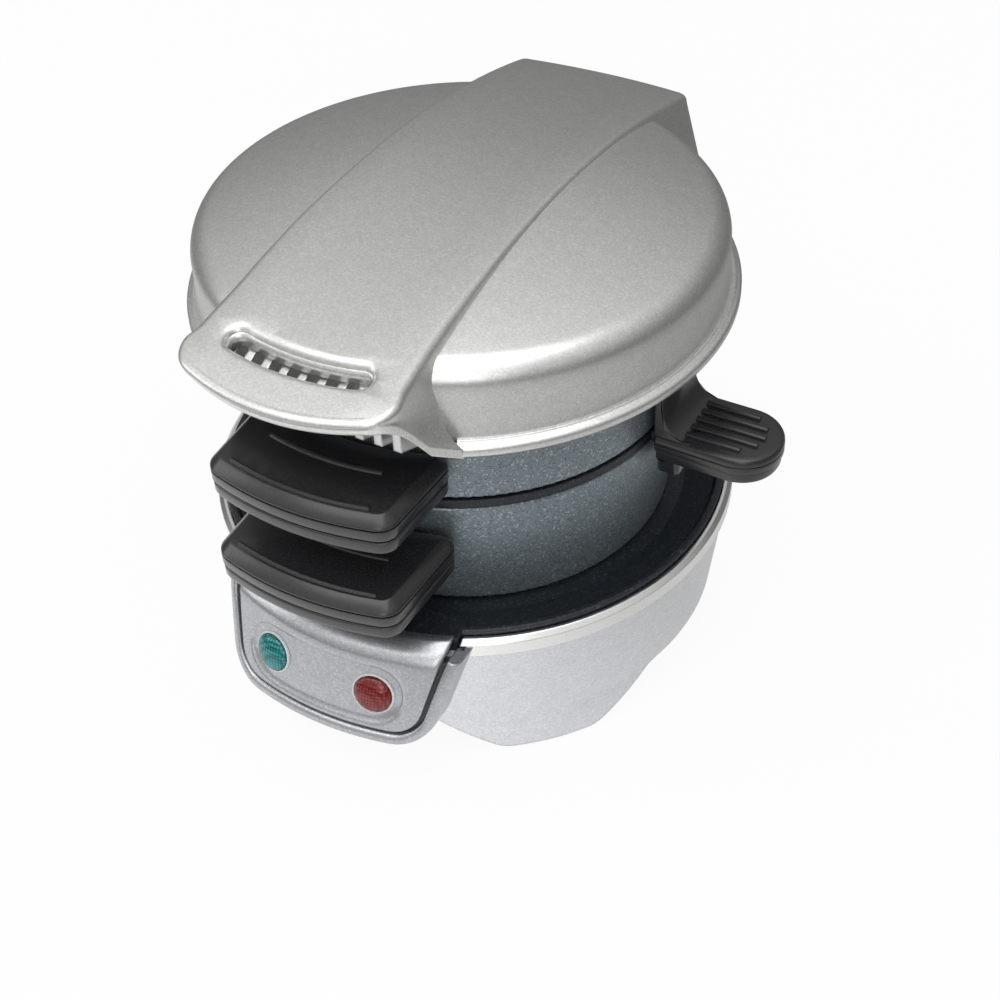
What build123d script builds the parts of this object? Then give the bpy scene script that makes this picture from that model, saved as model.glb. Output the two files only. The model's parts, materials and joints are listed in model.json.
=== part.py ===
from build123d import *
import math
import os

# Breakfast sandwich maker: a round heated base, two stacked rings with a swinging plate between them,
# and a heated lid, all hinged on one pin at the back. Millimetres, +Z up, front towards -Y.
# Everything is drawn about the rings' axis, and moved at the end so that the origin is the middle
# of the footprint, on the table.

os.makedirs("parts", exist_ok=True)

# ------------------------------------------------------------------ driving dimensions
running_gap = 0.3            # between pieces that slide or lift off one another
seat_gap = 0.02              # between pieces that are screwed or clipped together
pin_clearance = 0.05         # radial, on every hinge bore
sheet = 2.2                  # wall of the plastic mouldings
screw_hole_clearance = 0.05  # radial, round a screw's shank

# base
foot_height = 1.2            # rubber feet, proud of the housing
arch_height = 11.5           # open arches between the four lobes
body_foot_r = 66.0
body_waist_r = 64.8
body_top_r = 68.3
seam_z = 39.8                # between the housing and its bright rim
rim_top_z = 44.8
rim_r = 69.2
bottom_cover_z = 13.5
bottom_cover_t = 2.0

# control panel, a slice of a cone about the rings' axis
panel_low_r = 81.0
panel_low_z = 23.5
panel_high_r = 75.2
panel_high_z = 42.5
panel_top_r = 69.9
panel_top_z = 46.6
panel_half_top = 29.7
panel_half_low = 25.0
panel_corner_r = 7.0
bezel_width = 3.4
bezel_gap = 0.9
bezel_low_z = 18.6
lamp_x = 15.2
lamp_z = 34.5
lens_r = 5.4
pocket_half_height = 7.6
pocket_depth = 0.9

# lower heating plate
plate_rim_r = 66.9
plate_rim_z = 46.4
plate_floor_z = 42.2
plate_wall = 2.6
tab_half_width = 30.0

# rings
ring_top_r = 55.0
ring_foot_r = 52.2
ring_bore_r = 49.2
ring_mouth_r = 51.8
lower_ring_top_z = 75.4
cooking_plate_t = 2.4
upper_ring_height = 21.6

# front handles of the rings
handle_front_half = 24.6
handle_back_half = 27.2
handle_corner_r = 5.0
handle_chamfer = 2.6
handle_top_shell = 6.6
lower_handle_top_z = 69.5
upper_handle_top_z = 94.6
handle_thickness = 10.8
lower_handle_front = 83.2
upper_handle_front = 81.2
handle_bow = 3.9

# cooking plate's own handle, on the right
side_handle_tip = 85.3
side_handle_half = 10.8
side_handle_top_z = 79.8
side_handle_t = 9.4
side_riser_top_z = 97.2
plate_pivot_angle = 58.0
plate_pivot_r = 61.5
pivot_screw_r = 2.0

# lid
flange_r = 68.0
flange_low_z = 102.4
flange_top_z = 106.4
dome_r = 65.1
dome_shoulder_z = 116.6
dome_shoulder_r = 6.8
dome_crown_z = 124.4
dome_sheet = 1.6
spine_half_top = 24.8
spine_half_low = 27.8
spine_flare_half = 33.3
spine_foot_z = 98.0
spine_peak_z = 129.4
spine_peak_y = -9.0
spine_arc_r = 335.0
spine_back_y = 82.5
lid_handle_front = 76.8
lid_handle_half = 28.3
lid_handle_t = 4.8
slot_arc_r = 69.2
slot_half_angle = 13.7
slot_height = 5.6
crease = 0.35

# hinge
pin_y = 77.0
pin_z = 70.0
pin_r = 2.0
hub_r = 5.5
post_half = 10.0
lug_width = 3.2
lug_gap = 0.35

# ------------------------------------------------------------------ heights and places that follow
cooking_plate_z = lower_ring_top_z + running_gap
upper_ring_z = cooking_plate_z + cooking_plate_t + running_gap
upper_ring_top_z = upper_ring_z + upper_ring_height
lower_lug_x = post_half + lug_gap
upper_lug_x = lower_lug_x + lug_width + lug_gap
cover_lug_x = upper_lug_x + lug_width + lug_gap
pin_half = cover_lug_x + lug_width
pivot_x = plate_pivot_r * math.cos(math.radians(plate_pivot_angle))
pivot_y = plate_pivot_r * math.sin(math.radians(plate_pivot_angle))
panel_slope = (panel_low_r - panel_high_r) / (panel_high_z - panel_low_z)


def spine_z(y):
    """Height of the lid's arched spine at a place along its length."""
    return spine_peak_z - spine_arc_r + math.sqrt(spine_arc_r ** 2 - (y - spine_peak_y) ** 2)


def turned(points):
    """Closed half profile in the XZ plane, from (radius, height) pairs, for turning about Z."""
    with BuildSketch(Plane.XZ) as profile:
        with BuildLine():
            Polyline(*points, close=True)
        make_face()
    return profile.sketch


def front_outline(half_top, half_low, low_z, corner, top_z=60.0):
    """Trapezoid with rounded lower corners, seen from the front."""
    with BuildSketch(Plane.XZ) as outline:
        with BuildLine():
            Polyline((-half_top, top_z), (-half_low, low_z), (half_low, low_z), (half_top, top_z), close=True)
        make_face()
        fillet(outline.vertices().group_by(Axis.Y)[0], corner)
    return outline.sketch


# ------------------------------------------------------------------ base housing
# One silver moulding: a round wall that narrows downwards, four lobes to stand on with arches
# between them, and a snout at the front that carries the control panel.
deck_r = body_top_r - 4 * sheet
wall_profile = [
    (body_top_r, seam_z),
    (body_waist_r, arch_height),
    (body_foot_r, foot_height),
    (body_foot_r - sheet, foot_height),
    (body_waist_r - sheet, arch_height),
    (body_top_r - sheet, seam_z - sheet),
    (deck_r, seam_z - sheet),
    (deck_r, seam_z),
]
snout_depth = 6.0
snout_face_r = panel_low_r - snout_depth
snout_half_top = panel_half_top + bezel_width - 0.6
snout_half_low = panel_half_low + bezel_width - 1.8
snout_floor_z = bezel_low_z + 1.0
side_arch_low = 37.0
side_arch_high = 20.0
front_arch_low = 36.0
front_arch_high = 24.0
arch_round = 13.0
boss_r = 4.0
boss_ring_r = 59.0
bottom_screw_r = 1.5
foot_ring_r = 57.5
foot_r = 5.6
foot_stem_r = 2.2
lobe_floor_r = 50.5
gland_angle = 63.0
gland_z = 25.0
gland_r = 5.0
pad_half = post_half + 2.5
pad_y = 69.4
pad_low_z = 17.0


def arch_outline(plane, low, high, top):
    """Arched gap between two lobes, wide at the table and rounded into both lobes."""
    with BuildSketch(plane) as outline:
        with BuildLine():
            Polyline(
                (-low - 12, foot_height - 6),
                (-low - 12, foot_height),
                (-low, foot_height),
                (-high, top),
                (high, top),
                (low, foot_height),
                (low + 12, foot_height),
                (low + 12, foot_height - 6),
                close=True,
            )
        make_face()
        inner = [v for v in outline.vertices() if abs(v.X) < low + 1]
        fillet(inner, min(arch_round, 0.45 * (low - high)))
    return outline.sketch


def snout_core(margin):
    """Solid of the snout inside its outline, shrunk by a margin, in front of the round body."""
    back_r = deck_r - 4 * margin
    with BuildPart() as core:
        revolve(
            turned(
                [
                    (back_r, snout_floor_z + margin),
                    (snout_face_r - margin, snout_floor_z + margin),
                    (snout_face_r - margin - panel_slope * (seam_z - snout_floor_z), seam_z - margin),
                    (back_r, seam_z - margin),
                ]
            ),
            axis=Axis.Z,
        )
        extrude(
            front_outline(snout_half_top - margin, snout_half_low - margin, snout_floor_z + margin, panel_corner_r),
            amount=2 * panel_low_r,
            mode=Mode.INTERSECT,
        )
    return core.part


gland_plane = Plane(
    origin=(0, 0, gland_z),
    x_dir=(-math.sin(math.radians(gland_angle)), math.cos(math.radians(gland_angle)), 0),
    z_dir=(math.cos(math.radians(gland_angle)), math.sin(math.radians(gland_angle)), 0),
)

with BuildPart() as base_housing:
    revolve(turned(wall_profile), axis=Axis.Z)
    # floors of the four lobes
    revolve(
        turned(
            [
                (lobe_floor_r, foot_height),
                (body_foot_r - sheet + 0.2, foot_height),
                (body_foot_r - sheet - 0.2, foot_height + sheet),
                (lobe_floor_r, foot_height + sheet),
            ]
        ),
        axis=Axis.Z,
    )
    # flat pad behind, where the hinge post is screwed on
    with Locations((0, (deck_r + pad_y) / 2, (pad_low_z + seam_z) / 2)):
        Box(2 * pad_half, pad_y - deck_r, seam_z - pad_low_z)
    # screw bosses under the deck
    with BuildSketch(Plane.XY.offset(bottom_cover_z + bottom_cover_t + seat_gap)):
        with PolarLocations(boss_ring_r, 4, start_angle=45):
            Circle(boss_r)
    extrude(amount=seam_z - sheet / 2 - bottom_cover_z - bottom_cover_t)
    with BuildSketch(Plane.XY.offset(bottom_cover_z)):
        with PolarLocations(boss_ring_r, 4, start_angle=45):
            Circle(bottom_screw_r + screw_hole_clearance)
    extrude(amount=18, mode=Mode.SUBTRACT)
    # arches at both sides, in front and behind
    for side in (Plane.YZ, Plane.XZ):
        low, high, top = (side_arch_low, side_arch_high, arch_height)
        if side is Plane.XZ:
            low, high, top = (front_arch_low, front_arch_high, bottom_cover_z - 0.5)
        extrude(arch_outline(side, low, high, top), amount=2 * body_top_r, both=True, mode=Mode.SUBTRACT)
    add(snout_core(0))
    add(snout_core(sheet), mode=Mode.SUBTRACT)
    # window behind the lamps
    with BuildSketch(Plane.XZ.offset(panel_top_r - 8.0)) as window:
        with Locations((0, lamp_z - 1.6)):
            SlotOverall(2 * (lamp_x + 5.6), 11.6)
    extrude(window.sketch, amount=20.0, mode=Mode.SUBTRACT)
    # holes for the feet's stems
    with BuildSketch(Plane.XY) as stems:
        with PolarLocations(foot_ring_r, 4, start_angle=45):
            Circle(foot_stem_r + seat_gap)
    extrude(amount=foot_height + 2 * sheet, mode=Mode.SUBTRACT)
    # cable inlet
    with BuildSketch(gland_plane):
        Circle(gland_r)
    extrude(amount=2 * body_top_r, mode=Mode.SUBTRACT)

with BuildPart() as base_feet:
    with BuildSketch():
        with PolarLocations(foot_ring_r, 4, start_angle=45):
            Circle(foot_r)
    extrude(amount=foot_height - seat_gap)
    with BuildSketch(Plane.XY.offset(foot_height - seat_gap)):
        with PolarLocations(foot_ring_r, 4, start_angle=45):
            Circle(foot_stem_r)
    extrude(amount=sheet + 1.0)

# ------------------------------------------------------------------ bottom cover and its screws
with BuildPart() as bottom_cover:
    with BuildSketch(Plane.XY.offset(bottom_cover_z)):
        Circle(body_waist_r - sheet - running_gap)
        with PolarLocations(boss_ring_r, 4, start_angle=45):
            Circle(bottom_screw_r + 2 * screw_hole_clearance, mode=Mode.SUBTRACT)
        with GridLocations(0, 6.0, 1, 5):
            SlotOverall(36, 2.4, mode=Mode.SUBTRACT)
    extrude(amount=bottom_cover_t)

with BuildPart() as bottom_screws:
    with BuildSketch(Plane.XY.offset(bottom_cover_z - 1.8)):
        with PolarLocations(boss_ring_r, 4, start_angle=45):
            Circle(2.8)
    extrude(amount=1.8 - seat_gap)
    with BuildSketch(Plane.XY.offset(bottom_cover_z - 1.0)):
        with PolarLocations(boss_ring_r, 4, start_angle=45):
            Circle(bottom_screw_r)
    extrude(amount=14.0)

# ------------------------------------------------------------------ bright rim on top of the base
rim_ledge_z = seam_z + 2.4
tab_clearance = 0.6
with BuildPart() as base_rim:
    revolve(
        turned(
            [
                (rim_r, seam_z + seat_gap),
                (rim_r, rim_top_z - 1.2),
                (rim_r - 1.2, rim_top_z),
                (plate_rim_r + running_gap, rim_top_z),
                (plate_rim_r + running_gap, rim_ledge_z),
                (deck_r, rim_ledge_z),
                (deck_r, seam_z + seat_gap),
            ]
        ),
        axis=Axis.Z,
    )
    # open in front for the plate's tab and the panel
    with Locations((0, -rim_r, (rim_ledge_z + rim_top_z) / 2 + 5)):
        Box(2 * (tab_half_width + tab_clearance), 24, rim_top_z - rim_ledge_z + 10, mode=Mode.SUBTRACT)

# ------------------------------------------------------------------ control panel and its bezel


def panel_slab(front, back, low_z=panel_low_z, roll=True):
    """Closed profile between two offsets from the panel's face, turned about the rings' axis."""
    drop = panel_low_z - low_z
    with BuildSketch(Plane.XZ) as profile:
        with BuildLine():
            face = Line(
                (panel_low_r + drop * panel_slope + front, low_z),
                (panel_high_r + front, panel_high_z),
            )
            over = TangentArc(face @ 1, (panel_top_r, panel_top_z + min(front, 0.4)), tangent=face % 1)
            under = Line(over @ 1, (panel_top_r, panel_top_z + min(back, -0.4)))
            inner = Line((panel_high_r + back, panel_high_z - 1.2), (panel_low_r + drop * panel_slope + back, low_z))
            Line(under @ 1, inner @ 0)
            Line(inner @ 1, face @ 0)
        make_face()
    with BuildPart() as slab:
        revolve(profile.sketch, axis=Axis.Z)
    return slab.part


def lamp_plane(side):
    """Plane on the pocket's floor at a lamp, square to the panel. side is -1 or 1."""
    face_r = panel_high_r + (panel_high_z - lamp_z) * panel_slope - pocket_depth
    y = -math.sqrt(face_r ** 2 - lamp_x ** 2)
    tilt = math.atan(panel_slope)
    around = math.atan2(side * lamp_x, -y)
    outwards = (math.sin(around) * math.cos(tilt), -math.cos(around) * math.cos(tilt), math.sin(tilt))
    across = (math.cos(around), math.sin(around), 0)
    return Plane(origin=(side * lamp_x, y, lamp_z), x_dir=across, z_dir=outwards)


with BuildPart() as control_panel:
    add(panel_slab(0, -sheet))
    extrude(
        front_outline(panel_half_top, panel_half_low, panel_low_z, panel_corner_r),
        amount=2 * panel_low_r,
        mode=Mode.INTERSECT,
    )
    with BuildPart(mode=Mode.PRIVATE) as pocket:
        add(panel_slab(5.0, -pocket_depth))
        with BuildSketch(Plane.XZ) as stadium:
            with Locations((0, lamp_z)):
                SlotOverall(2 * (lamp_x + pocket_half_height), 2 * pocket_half_height)
        extrude(stadium.sketch, amount=2 * panel_low_r, mode=Mode.INTERSECT)
    add(pocket.part, mode=Mode.SUBTRACT)
    for side in (-1, 1):
        with BuildSketch(lamp_plane(side)) as lamp_hole:
            Circle(lens_r + pin_clearance)
        extrude(lamp_hole.sketch, amount=4.0, both=True, mode=Mode.SUBTRACT)

with BuildPart() as panel_bezel:
    add(panel_slab(0.5, -snout_depth + 0.6, low_z=bezel_low_z))
    extrude(
        front_outline(
            panel_half_top + bezel_width + bezel_gap,
            panel_half_low + bezel_width - 1.0,
            bezel_low_z,
            panel_corner_r + bezel_width,
        ),
        amount=2 * panel_low_r,
        mode=Mode.INTERSECT,
    )
    extrude(
        front_outline(
            panel_half_top + bezel_gap, panel_half_low + bezel_gap, panel_low_z - bezel_gap, panel_corner_r + bezel_gap
        ),
        amount=2 * panel_low_r,
        mode=Mode.SUBTRACT,
    )
    # ledge behind the panel
    with BuildPart(mode=Mode.PRIVATE) as ledge:
        add(panel_slab(-sheet - seat_gap - 0.6, -snout_depth + 0.6, low_z=bezel_low_z))
        extrude(
            front_outline(
                panel_half_top + bezel_gap + 0.2,
                panel_half_low + bezel_gap + 0.2,
                panel_low_z - bezel_gap - 0.2,
                panel_corner_r + bezel_gap,
            ),
            amount=2 * panel_low_r,
            mode=Mode.INTERSECT,
        )
        extrude(
            front_outline(panel_half_top - 2.4, panel_half_low - 2.4, panel_low_z + 2.4, panel_corner_r - 2.0),
            amount=2 * panel_low_r,
            mode=Mode.SUBTRACT,
        )
        with Locations((0, -panel_low_r, panel_top_z)):
            Box(4 * panel_half_top, 60.0, 2 * (panel_top_z - panel_high_z + 2.5), mode=Mode.SUBTRACT)
    add(ledge.part)


def lens(side):
    """Clear lens with a domed front and a collar behind the panel."""
    with BuildPart() as piece:
        with BuildSketch(Plane.XZ):
            with BuildLine():
                Polyline((0, -2.6), (lens_r + 1.0, -2.6), (lens_r + 1.0, -sheet), (lens_r, -sheet), (lens_r, 0.4))
                TangentArc((0, 2.0), (lens_r, 0.4), tangent=(1, 0))
                Line((0, 2.0), (0, -2.6))
            make_face()
        revolve(axis=Axis.Z)
    return lamp_plane(side).location * piece.part


with BuildPart() as preheat_lens:
    add(lens(-1))

with BuildPart() as power_lens:
    add(lens(1))

lamp_cup_r = 4.6
lamp_cup_bore = 3.2
lamp_r = lamp_cup_bore - seat_gap
with BuildPart() as lamp_holder:
    for side in (-1, 1):
        with BuildSketch(lamp_plane(side).offset(-2.6 - seat_gap)) as cup:
            Circle(lamp_cup_r)
        extrude(cup.sketch, amount=-3.4)
    with Locations((0, -panel_high_r + 4.0, lamp_z - 1.6)):
        Box(2 * lamp_x, 2.0, 5.0)
    for side in (-1, 1):
        with BuildSketch(lamp_plane(side).offset(-1.0)) as bore:
            Circle(lamp_cup_bore)
        extrude(bore.sketch, amount=-8.0, mode=Mode.SUBTRACT)

with BuildPart() as indicator_lamps:
    for side in (-1, 1):
        with BuildSketch(lamp_plane(side).offset(-2.6 - 2 * seat_gap)) as bulb:
            Circle(lamp_r)
        extrude(bulb.sketch, amount=-6.0)

# ------------------------------------------------------------------ lower heating plate
# Cast and coated: a flat middle for the ring, a shallow rise, a raised lip, and a flat tab in front.
seat_r = 56.5
with BuildPart() as lower_heating_plate:
    revolve(
        turned(
            [
                (0, plate_floor_z),
                (seat_r, plate_floor_z),
                (plate_rim_r - 2.4, plate_floor_z + 2.2),
                (plate_rim_r - 1.6, plate_rim_z),
                (plate_rim_r - 0.4, plate_rim_z),
                (plate_rim_r, plate_rim_z - 0.4),
                (plate_rim_r, rim_ledge_z + seat_gap),
                (deck_r - 0.6, rim_ledge_z + seat_gap),
                (deck_r - 0.6, plate_floor_z - plate_wall),
                (0, plate_floor_z - plate_wall),
            ]
        ),
        axis=Axis.Z,
    )
    with BuildSketch(Plane.XY.offset(rim_ledge_z + seat_gap)) as tab:
        Circle(panel_top_r - 0.5)
        with Locations((0, -60.0)):
            Rectangle(2 * tab_half_width, 6.0 + 2 * (panel_top_r - 60.0), mode=Mode.INTERSECT)
        with Locations((0, -50.0)):
            Rectangle(2 * tab_half_width, 14.0, mode=Mode.SUBTRACT)
    extrude(tab.sketch, amount=plate_rim_z - rim_ledge_z - seat_gap)

element_r = 42.0
element_tube_r = 3.0
element_arc = 300


def heating_element(plate_side_z, direction):
    """Sheathed heater: most of a ring lying on a plate, with a terminal pin at each end."""
    centre_z = plate_side_z + direction * (element_tube_r + seat_gap)
    with BuildPart() as piece:
        with BuildSketch(Plane.XZ):
            with Locations((element_r, centre_z)):
                Circle(element_tube_r)
        revolve(axis=Axis.Z, revolution_arc=element_arc)
        for end in (0, element_arc):
            turn = math.radians(end)
            inward = 1 if end == 0 else -1
            start = Vector(element_r * math.cos(turn), element_r * math.sin(turn), centre_z)
            along = Vector(inward * math.sin(turn), -inward * math.cos(turn), 0)
            with BuildSketch(Plane(origin=start, z_dir=along)) as pin:
                Circle(1.2)
            extrude(pin.sketch, amount=8.0)
    return Rotation(0, 0, 120) * piece.part


with BuildPart() as lower_heating_element:
    add(heating_element(plate_floor_z - plate_wall, -1))

plate_screw_x = 53.9
plate_screw_y = 31.2
with BuildPart() as plate_screws:
    with BuildSketch(Plane.XY.offset(seam_z - sheet - 1.8)):
        with GridLocations(2 * plate_screw_x, 2 * plate_screw_y, 2, 2):
            Circle(2.5)
    extrude(amount=1.8 - seat_gap)
    with BuildSketch(Plane.XY.offset(seam_z - sheet - 1.0)):
        with GridLocations(2 * plate_screw_x, 2 * plate_screw_y, 2, 2):
            Circle(1.4)
    extrude(amount=5.4)
for piece in (base_housing, base_rim, lower_heating_plate):
    with piece:
        with BuildSketch(Plane.XY.offset(seam_z - sheet - 1.0)) as shanks:
            with GridLocations(2 * plate_screw_x, 2 * plate_screw_y, 2, 2):
                Circle(1.4 + screw_hole_clearance)
        extrude(shanks.sketch, amount=5.5, mode=Mode.SUBTRACT)

# ------------------------------------------------------------------ switch gear under the plate
with BuildPart() as thermostat:
    under = plate_floor_z - plate_wall - seat_gap
    with Locations((0, -22.0, under)):
        Cylinder(8.0, 5.0, align=(Align.CENTER, Align.CENTER, Align.MAX))
        Box(24.0, 8.0, 1.0, align=(Align.CENTER, Align.CENTER, Align.MAX))
    with Locations((0, -22.0, under - 5.0)):
        Box(5.0, 14.0, 4.0, align=(Align.CENTER, Align.CENTER, Align.MAX))

with BuildPart() as thermal_fuse:
    with Locations(Location((18.0, 8.0, plate_floor_z - plate_wall - 2.2 - seat_gap), (0, 90, 0))):
        Cylinder(2.2, 11.0)
        Cylinder(0.6, 22.0)

with BuildPart() as fuse_clip:
    with Locations((18.0, 8.0, plate_floor_z - plate_wall - seat_gap)):
        Box(6.0, 16.0, 5.6, align=(Align.CENTER, Align.CENTER, Align.MAX))
        Box(6.1, 5.0, 4.8, align=(Align.CENTER, Align.CENTER, Align.MAX), mode=Mode.SUBTRACT)
        with Locations((0, -5.7, -0.9), (0, 5.7, -0.9)):
            Box(6.1, 6.0, 5.0, align=(Align.CENTER, Align.CENTER, Align.MAX), mode=Mode.SUBTRACT)

with BuildPart() as terminal_block:
    with Locations((22.0, 34.0, bottom_cover_z + bottom_cover_t + seat_gap)):
        Box(18.0, 11.0, 9.0, align=(Align.CENTER, Align.CENTER, Align.MIN))
    with BuildSketch(Plane.XY.offset(bottom_cover_z + bottom_cover_t + 9.5)):
        with Locations((22.0, 34.0)):
            with GridLocations(5.6, 0, 3, 1):
                Circle(1.9)
    extrude(amount=-4.0, mode=Mode.SUBTRACT)

gland_wall_r = body_waist_r + (gland_z - arch_height) / (seam_z - arch_height) * (body_top_r - body_waist_r)
with BuildPart() as gland_body:
    with BuildSketch(Plane.XZ):
        with BuildLine():
            Polyline(
                (3.3, gland_wall_r - 6.0),
                (gland_r - seat_gap, gland_wall_r - 6.0),
                (gland_r - seat_gap, gland_wall_r + 0.9),
                (gland_r + 1.8, gland_wall_r + 0.9),
                (gland_r + 1.8, gland_wall_r + 2.4),
                (3.3, gland_wall_r + 2.4),
                close=True,
            )
        make_face()
    revolve(axis=Axis.Z)
with BuildPart() as cord_gland:
    add(gland_plane.location * gland_body.part)

# ------------------------------------------------------------------ hinge post and pin
post_screw_r = 1.5
post_back_y = pin_y + 0.8
with BuildPart() as hinge_post:
    with BuildSketch(Plane.YZ):
        with BuildLine():
            Polyline(
                (pad_y + seat_gap, pad_low_z + 2.0),
                (post_back_y, pad_low_z + 2.0),
                (post_back_y, pad_low_z + 25.0),
                (post_back_y + 1.6, 58.0),
                (pin_y + hub_r - 0.05, pin_z - 1.0),
                (pin_y - hub_r + 0.05, pin_z + 1.0),
                (pad_y + 0.4, 60.0),
                (pad_y + seat_gap, 46.0),
                close=True,
            )
        make_face()
        with Locations((pin_y, pin_z)):
            Circle(hub_r)
    extrude(amount=post_half, both=True)
    with BuildSketch(Plane.YZ) as pin_hole:
        with Locations((pin_y, pin_z)):
            Circle(pin_r + seat_gap)
    extrude(pin_hole.sketch, amount=post_half + 1, both=True, mode=Mode.SUBTRACT)
    with BuildSketch(Plane.XZ) as post_holes:
        with Locations((0, pad_low_z + 6.0), (0, pad_low_z + 16.0)):
            Circle(post_screw_r + screw_hole_clearance)
    extrude(post_holes.sketch, amount=-100, mode=Mode.SUBTRACT)
    # lightening pockets either side of a middle web
    with BuildSketch(Plane.XZ.offset(-post_back_y - 3.0)) as pockets:
        with Locations((-5.6, 47.0), (5.6, 47.0)):
            SlotOverall(20.0, 6.0, rotation=90)
    extrude(pockets.sketch, amount=6.0, mode=Mode.SUBTRACT)

with base_housing:
    with BuildSketch(Plane.XZ.offset(-pad_y - 1.0)) as pad_holes:
        with Locations((0, pad_low_z + 6.0), (0, pad_low_z + 16.0)):
            Circle(post_screw_r + screw_hole_clearance)
    extrude(pad_holes.sketch, amount=9.0, mode=Mode.SUBTRACT)

with BuildPart() as post_screws:
    with BuildSketch(Plane.XZ.offset(-post_back_y - seat_gap - 1.8)) as heads:
        with Locations((0, pad_low_z + 6.0), (0, pad_low_z + 16.0)):
            Circle(2.8)
    extrude(heads.sketch, amount=1.8)
    with BuildSketch(Plane.XZ.offset(-post_back_y - 1.0)) as shanks:
        with Locations((0, pad_low_z + 6.0), (0, pad_low_z + 16.0)):
            Circle(post_screw_r)
    extrude(shanks.sketch, amount=15.5)

with BuildPart() as hinge_pin:
    with BuildSketch(Plane.YZ):
        with Locations((pin_y, pin_z)):
            Circle(pin_r)
    extrude(amount=pin_half + 1.2, both=True)

with BuildPart() as pin_clips:
    for side in (-1, 1):
        with BuildSketch(Plane.YZ.offset(side * (pin_half + 0.15))) as clip:
            with Locations((pin_y, pin_z)):
                Circle(3.4)
                Circle(pin_r + seat_gap, mode=Mode.SUBTRACT)
        extrude(clip.sketch, amount=side * 0.8)


def lugs(inner_x, arm):
    """Pair of hinge lugs on the pin, each an arm and a hub, a lug's width thick, either side."""
    with BuildPart() as pair:
        for side in (-1, 1):
            with BuildSketch(Plane.YZ.offset(side * inner_x)) as one:
                with BuildLine():
                    Polyline(*arm, close=True)
                make_face()
                with Locations((pin_y, pin_z)):
                    Circle(hub_r)
                    Circle(pin_r + pin_clearance, mode=Mode.SUBTRACT)
            extrude(one.sketch, amount=side * lug_width)
    return pair.part


# ------------------------------------------------------------------ lower ring
tang_half = 9.0
tang_t = 3.0
tang_reach = 68.0


def ring_wall(profile):
    """Turned ring wall with softened edges."""
    with BuildPart() as wall:
        revolve(turned(profile), axis=Axis.Z)
        fillet(wall.edges().filter_by(GeomType.CIRCLE), 0.7)
    return wall.part


def handle_z(top_z):
    """Height of the joint between a front handle's two shells."""
    return top_z - handle_top_shell


def tang(top_z, ring_r):
    """Flat tongue cast on a ring, which the front handle's shells clamp, with two screw holes."""
    with BuildPart() as piece:
        with BuildSketch(Plane.XY.offset(handle_z(top_z) - tang_t / 2)):
            with Locations((0, -(ring_r - 1.2 + tang_reach) / 2)):
                Rectangle(2 * tang_half, tang_reach - ring_r + 1.2)
            with Locations(*handle_screw_places):
                Circle(handle_screw_r + screw_hole_clearance, mode=Mode.SUBTRACT)
        extrude(amount=tang_t)
    return piece.part


handle_screw_r = 1.4
handle_screw_places = [(-5.0, -62.0), (5.0, -62.0)]
lower_ring_z = plate_floor_z + running_gap
with BuildPart() as lower_ring:
    add(
        ring_wall(
            [
                (ring_foot_r, lower_ring_z),
                (ring_top_r, lower_ring_top_z),
                (ring_mouth_r, lower_ring_top_z),
                (ring_bore_r, lower_ring_z),
            ]
        )
    )
    add(
        lugs(
            lower_lug_x,
            [(51.0, 57.0), (51.0, 73.5), (pin_y - 1.0, pin_z + hub_r - 0.05), (pin_y + 1.0, pin_z - hub_r + 0.05)],
        )
    )
    add(tang(lower_handle_top_z, ring_top_r - 1.0))

with BuildPart() as upper_ring:
    add(
        ring_wall(
            [
                (ring_top_r, upper_ring_z),
                (ring_top_r, upper_ring_top_z),
                (ring_mouth_r, upper_ring_top_z),
                (ring_mouth_r, upper_ring_z),
            ]
        )
    )
    add(
        lugs(
            upper_lug_x,
            [
                (51.5, upper_ring_z + 0.8),
                (56.5, upper_ring_z + 0.8),
                (pin_y - 3.5, pin_z - hub_r + 1.4),
                (pin_y + hub_r - 0.6, pin_z + 2.2),
                (63.0, upper_ring_z + 16.0),
                (51.5, upper_ring_z + 18.0),
            ],
        )
    )
    add(tang(upper_handle_top_z, ring_top_r))
    # ear that carries the swinging plate
    with BuildSketch(Plane.XY.offset(upper_ring_z)):
        with Locations((pivot_x, pivot_y)):
            Circle(6.4)
        with Locations(Location((0, 0, 0), (0, 0, plate_pivot_angle))):
            with Locations((ring_top_r + 1.5, 0)):
                Rectangle(8.0, 12.8)
    extrude(amount=4.0)
    with BuildSketch(Plane.XY.offset(upper_ring_z - 1)) as bore:
        Circle(ring_mouth_r)
    extrude(bore.sketch, amount=6.0, mode=Mode.SUBTRACT)
    with BuildSketch(Plane.XY.offset(upper_ring_z - 1)) as pivot_hole:
        with Locations((pivot_x, pivot_y)):
            Circle(pivot_screw_r + seat_gap)
    extrude(pivot_hole.sketch, amount=7.0, mode=Mode.SUBTRACT)

# ------------------------------------------------------------------ front handles of the two rings


def handle_outline(front, inset):
    """Plan of a front handle: bowed front, sides that widen backwards, back edge round the ring."""
    half_front = handle_front_half - inset
    half_back = handle_back_half - inset
    back_r = ring_top_r + running_gap
    corner_y = -(front - handle_bow) + inset
    back_y = -math.sqrt(back_r ** 2 - half_back ** 2)
    with BuildSketch() as outline:
        with BuildLine():
            ThreePointArc((-half_front, corner_y), (0, -front + inset), (half_front, corner_y))
            Line((half_front, corner_y), (half_back, back_y))
            ThreePointArc((half_back, back_y), (0, -back_r), (-half_back, back_y))
            Line((-half_back, back_y), (-half_front, corner_y))
        make_face()
        fillet(outline.vertices().group_by(Axis.Y)[0], handle_corner_r - 0.5 * inset)
    return outline.sketch


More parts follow.
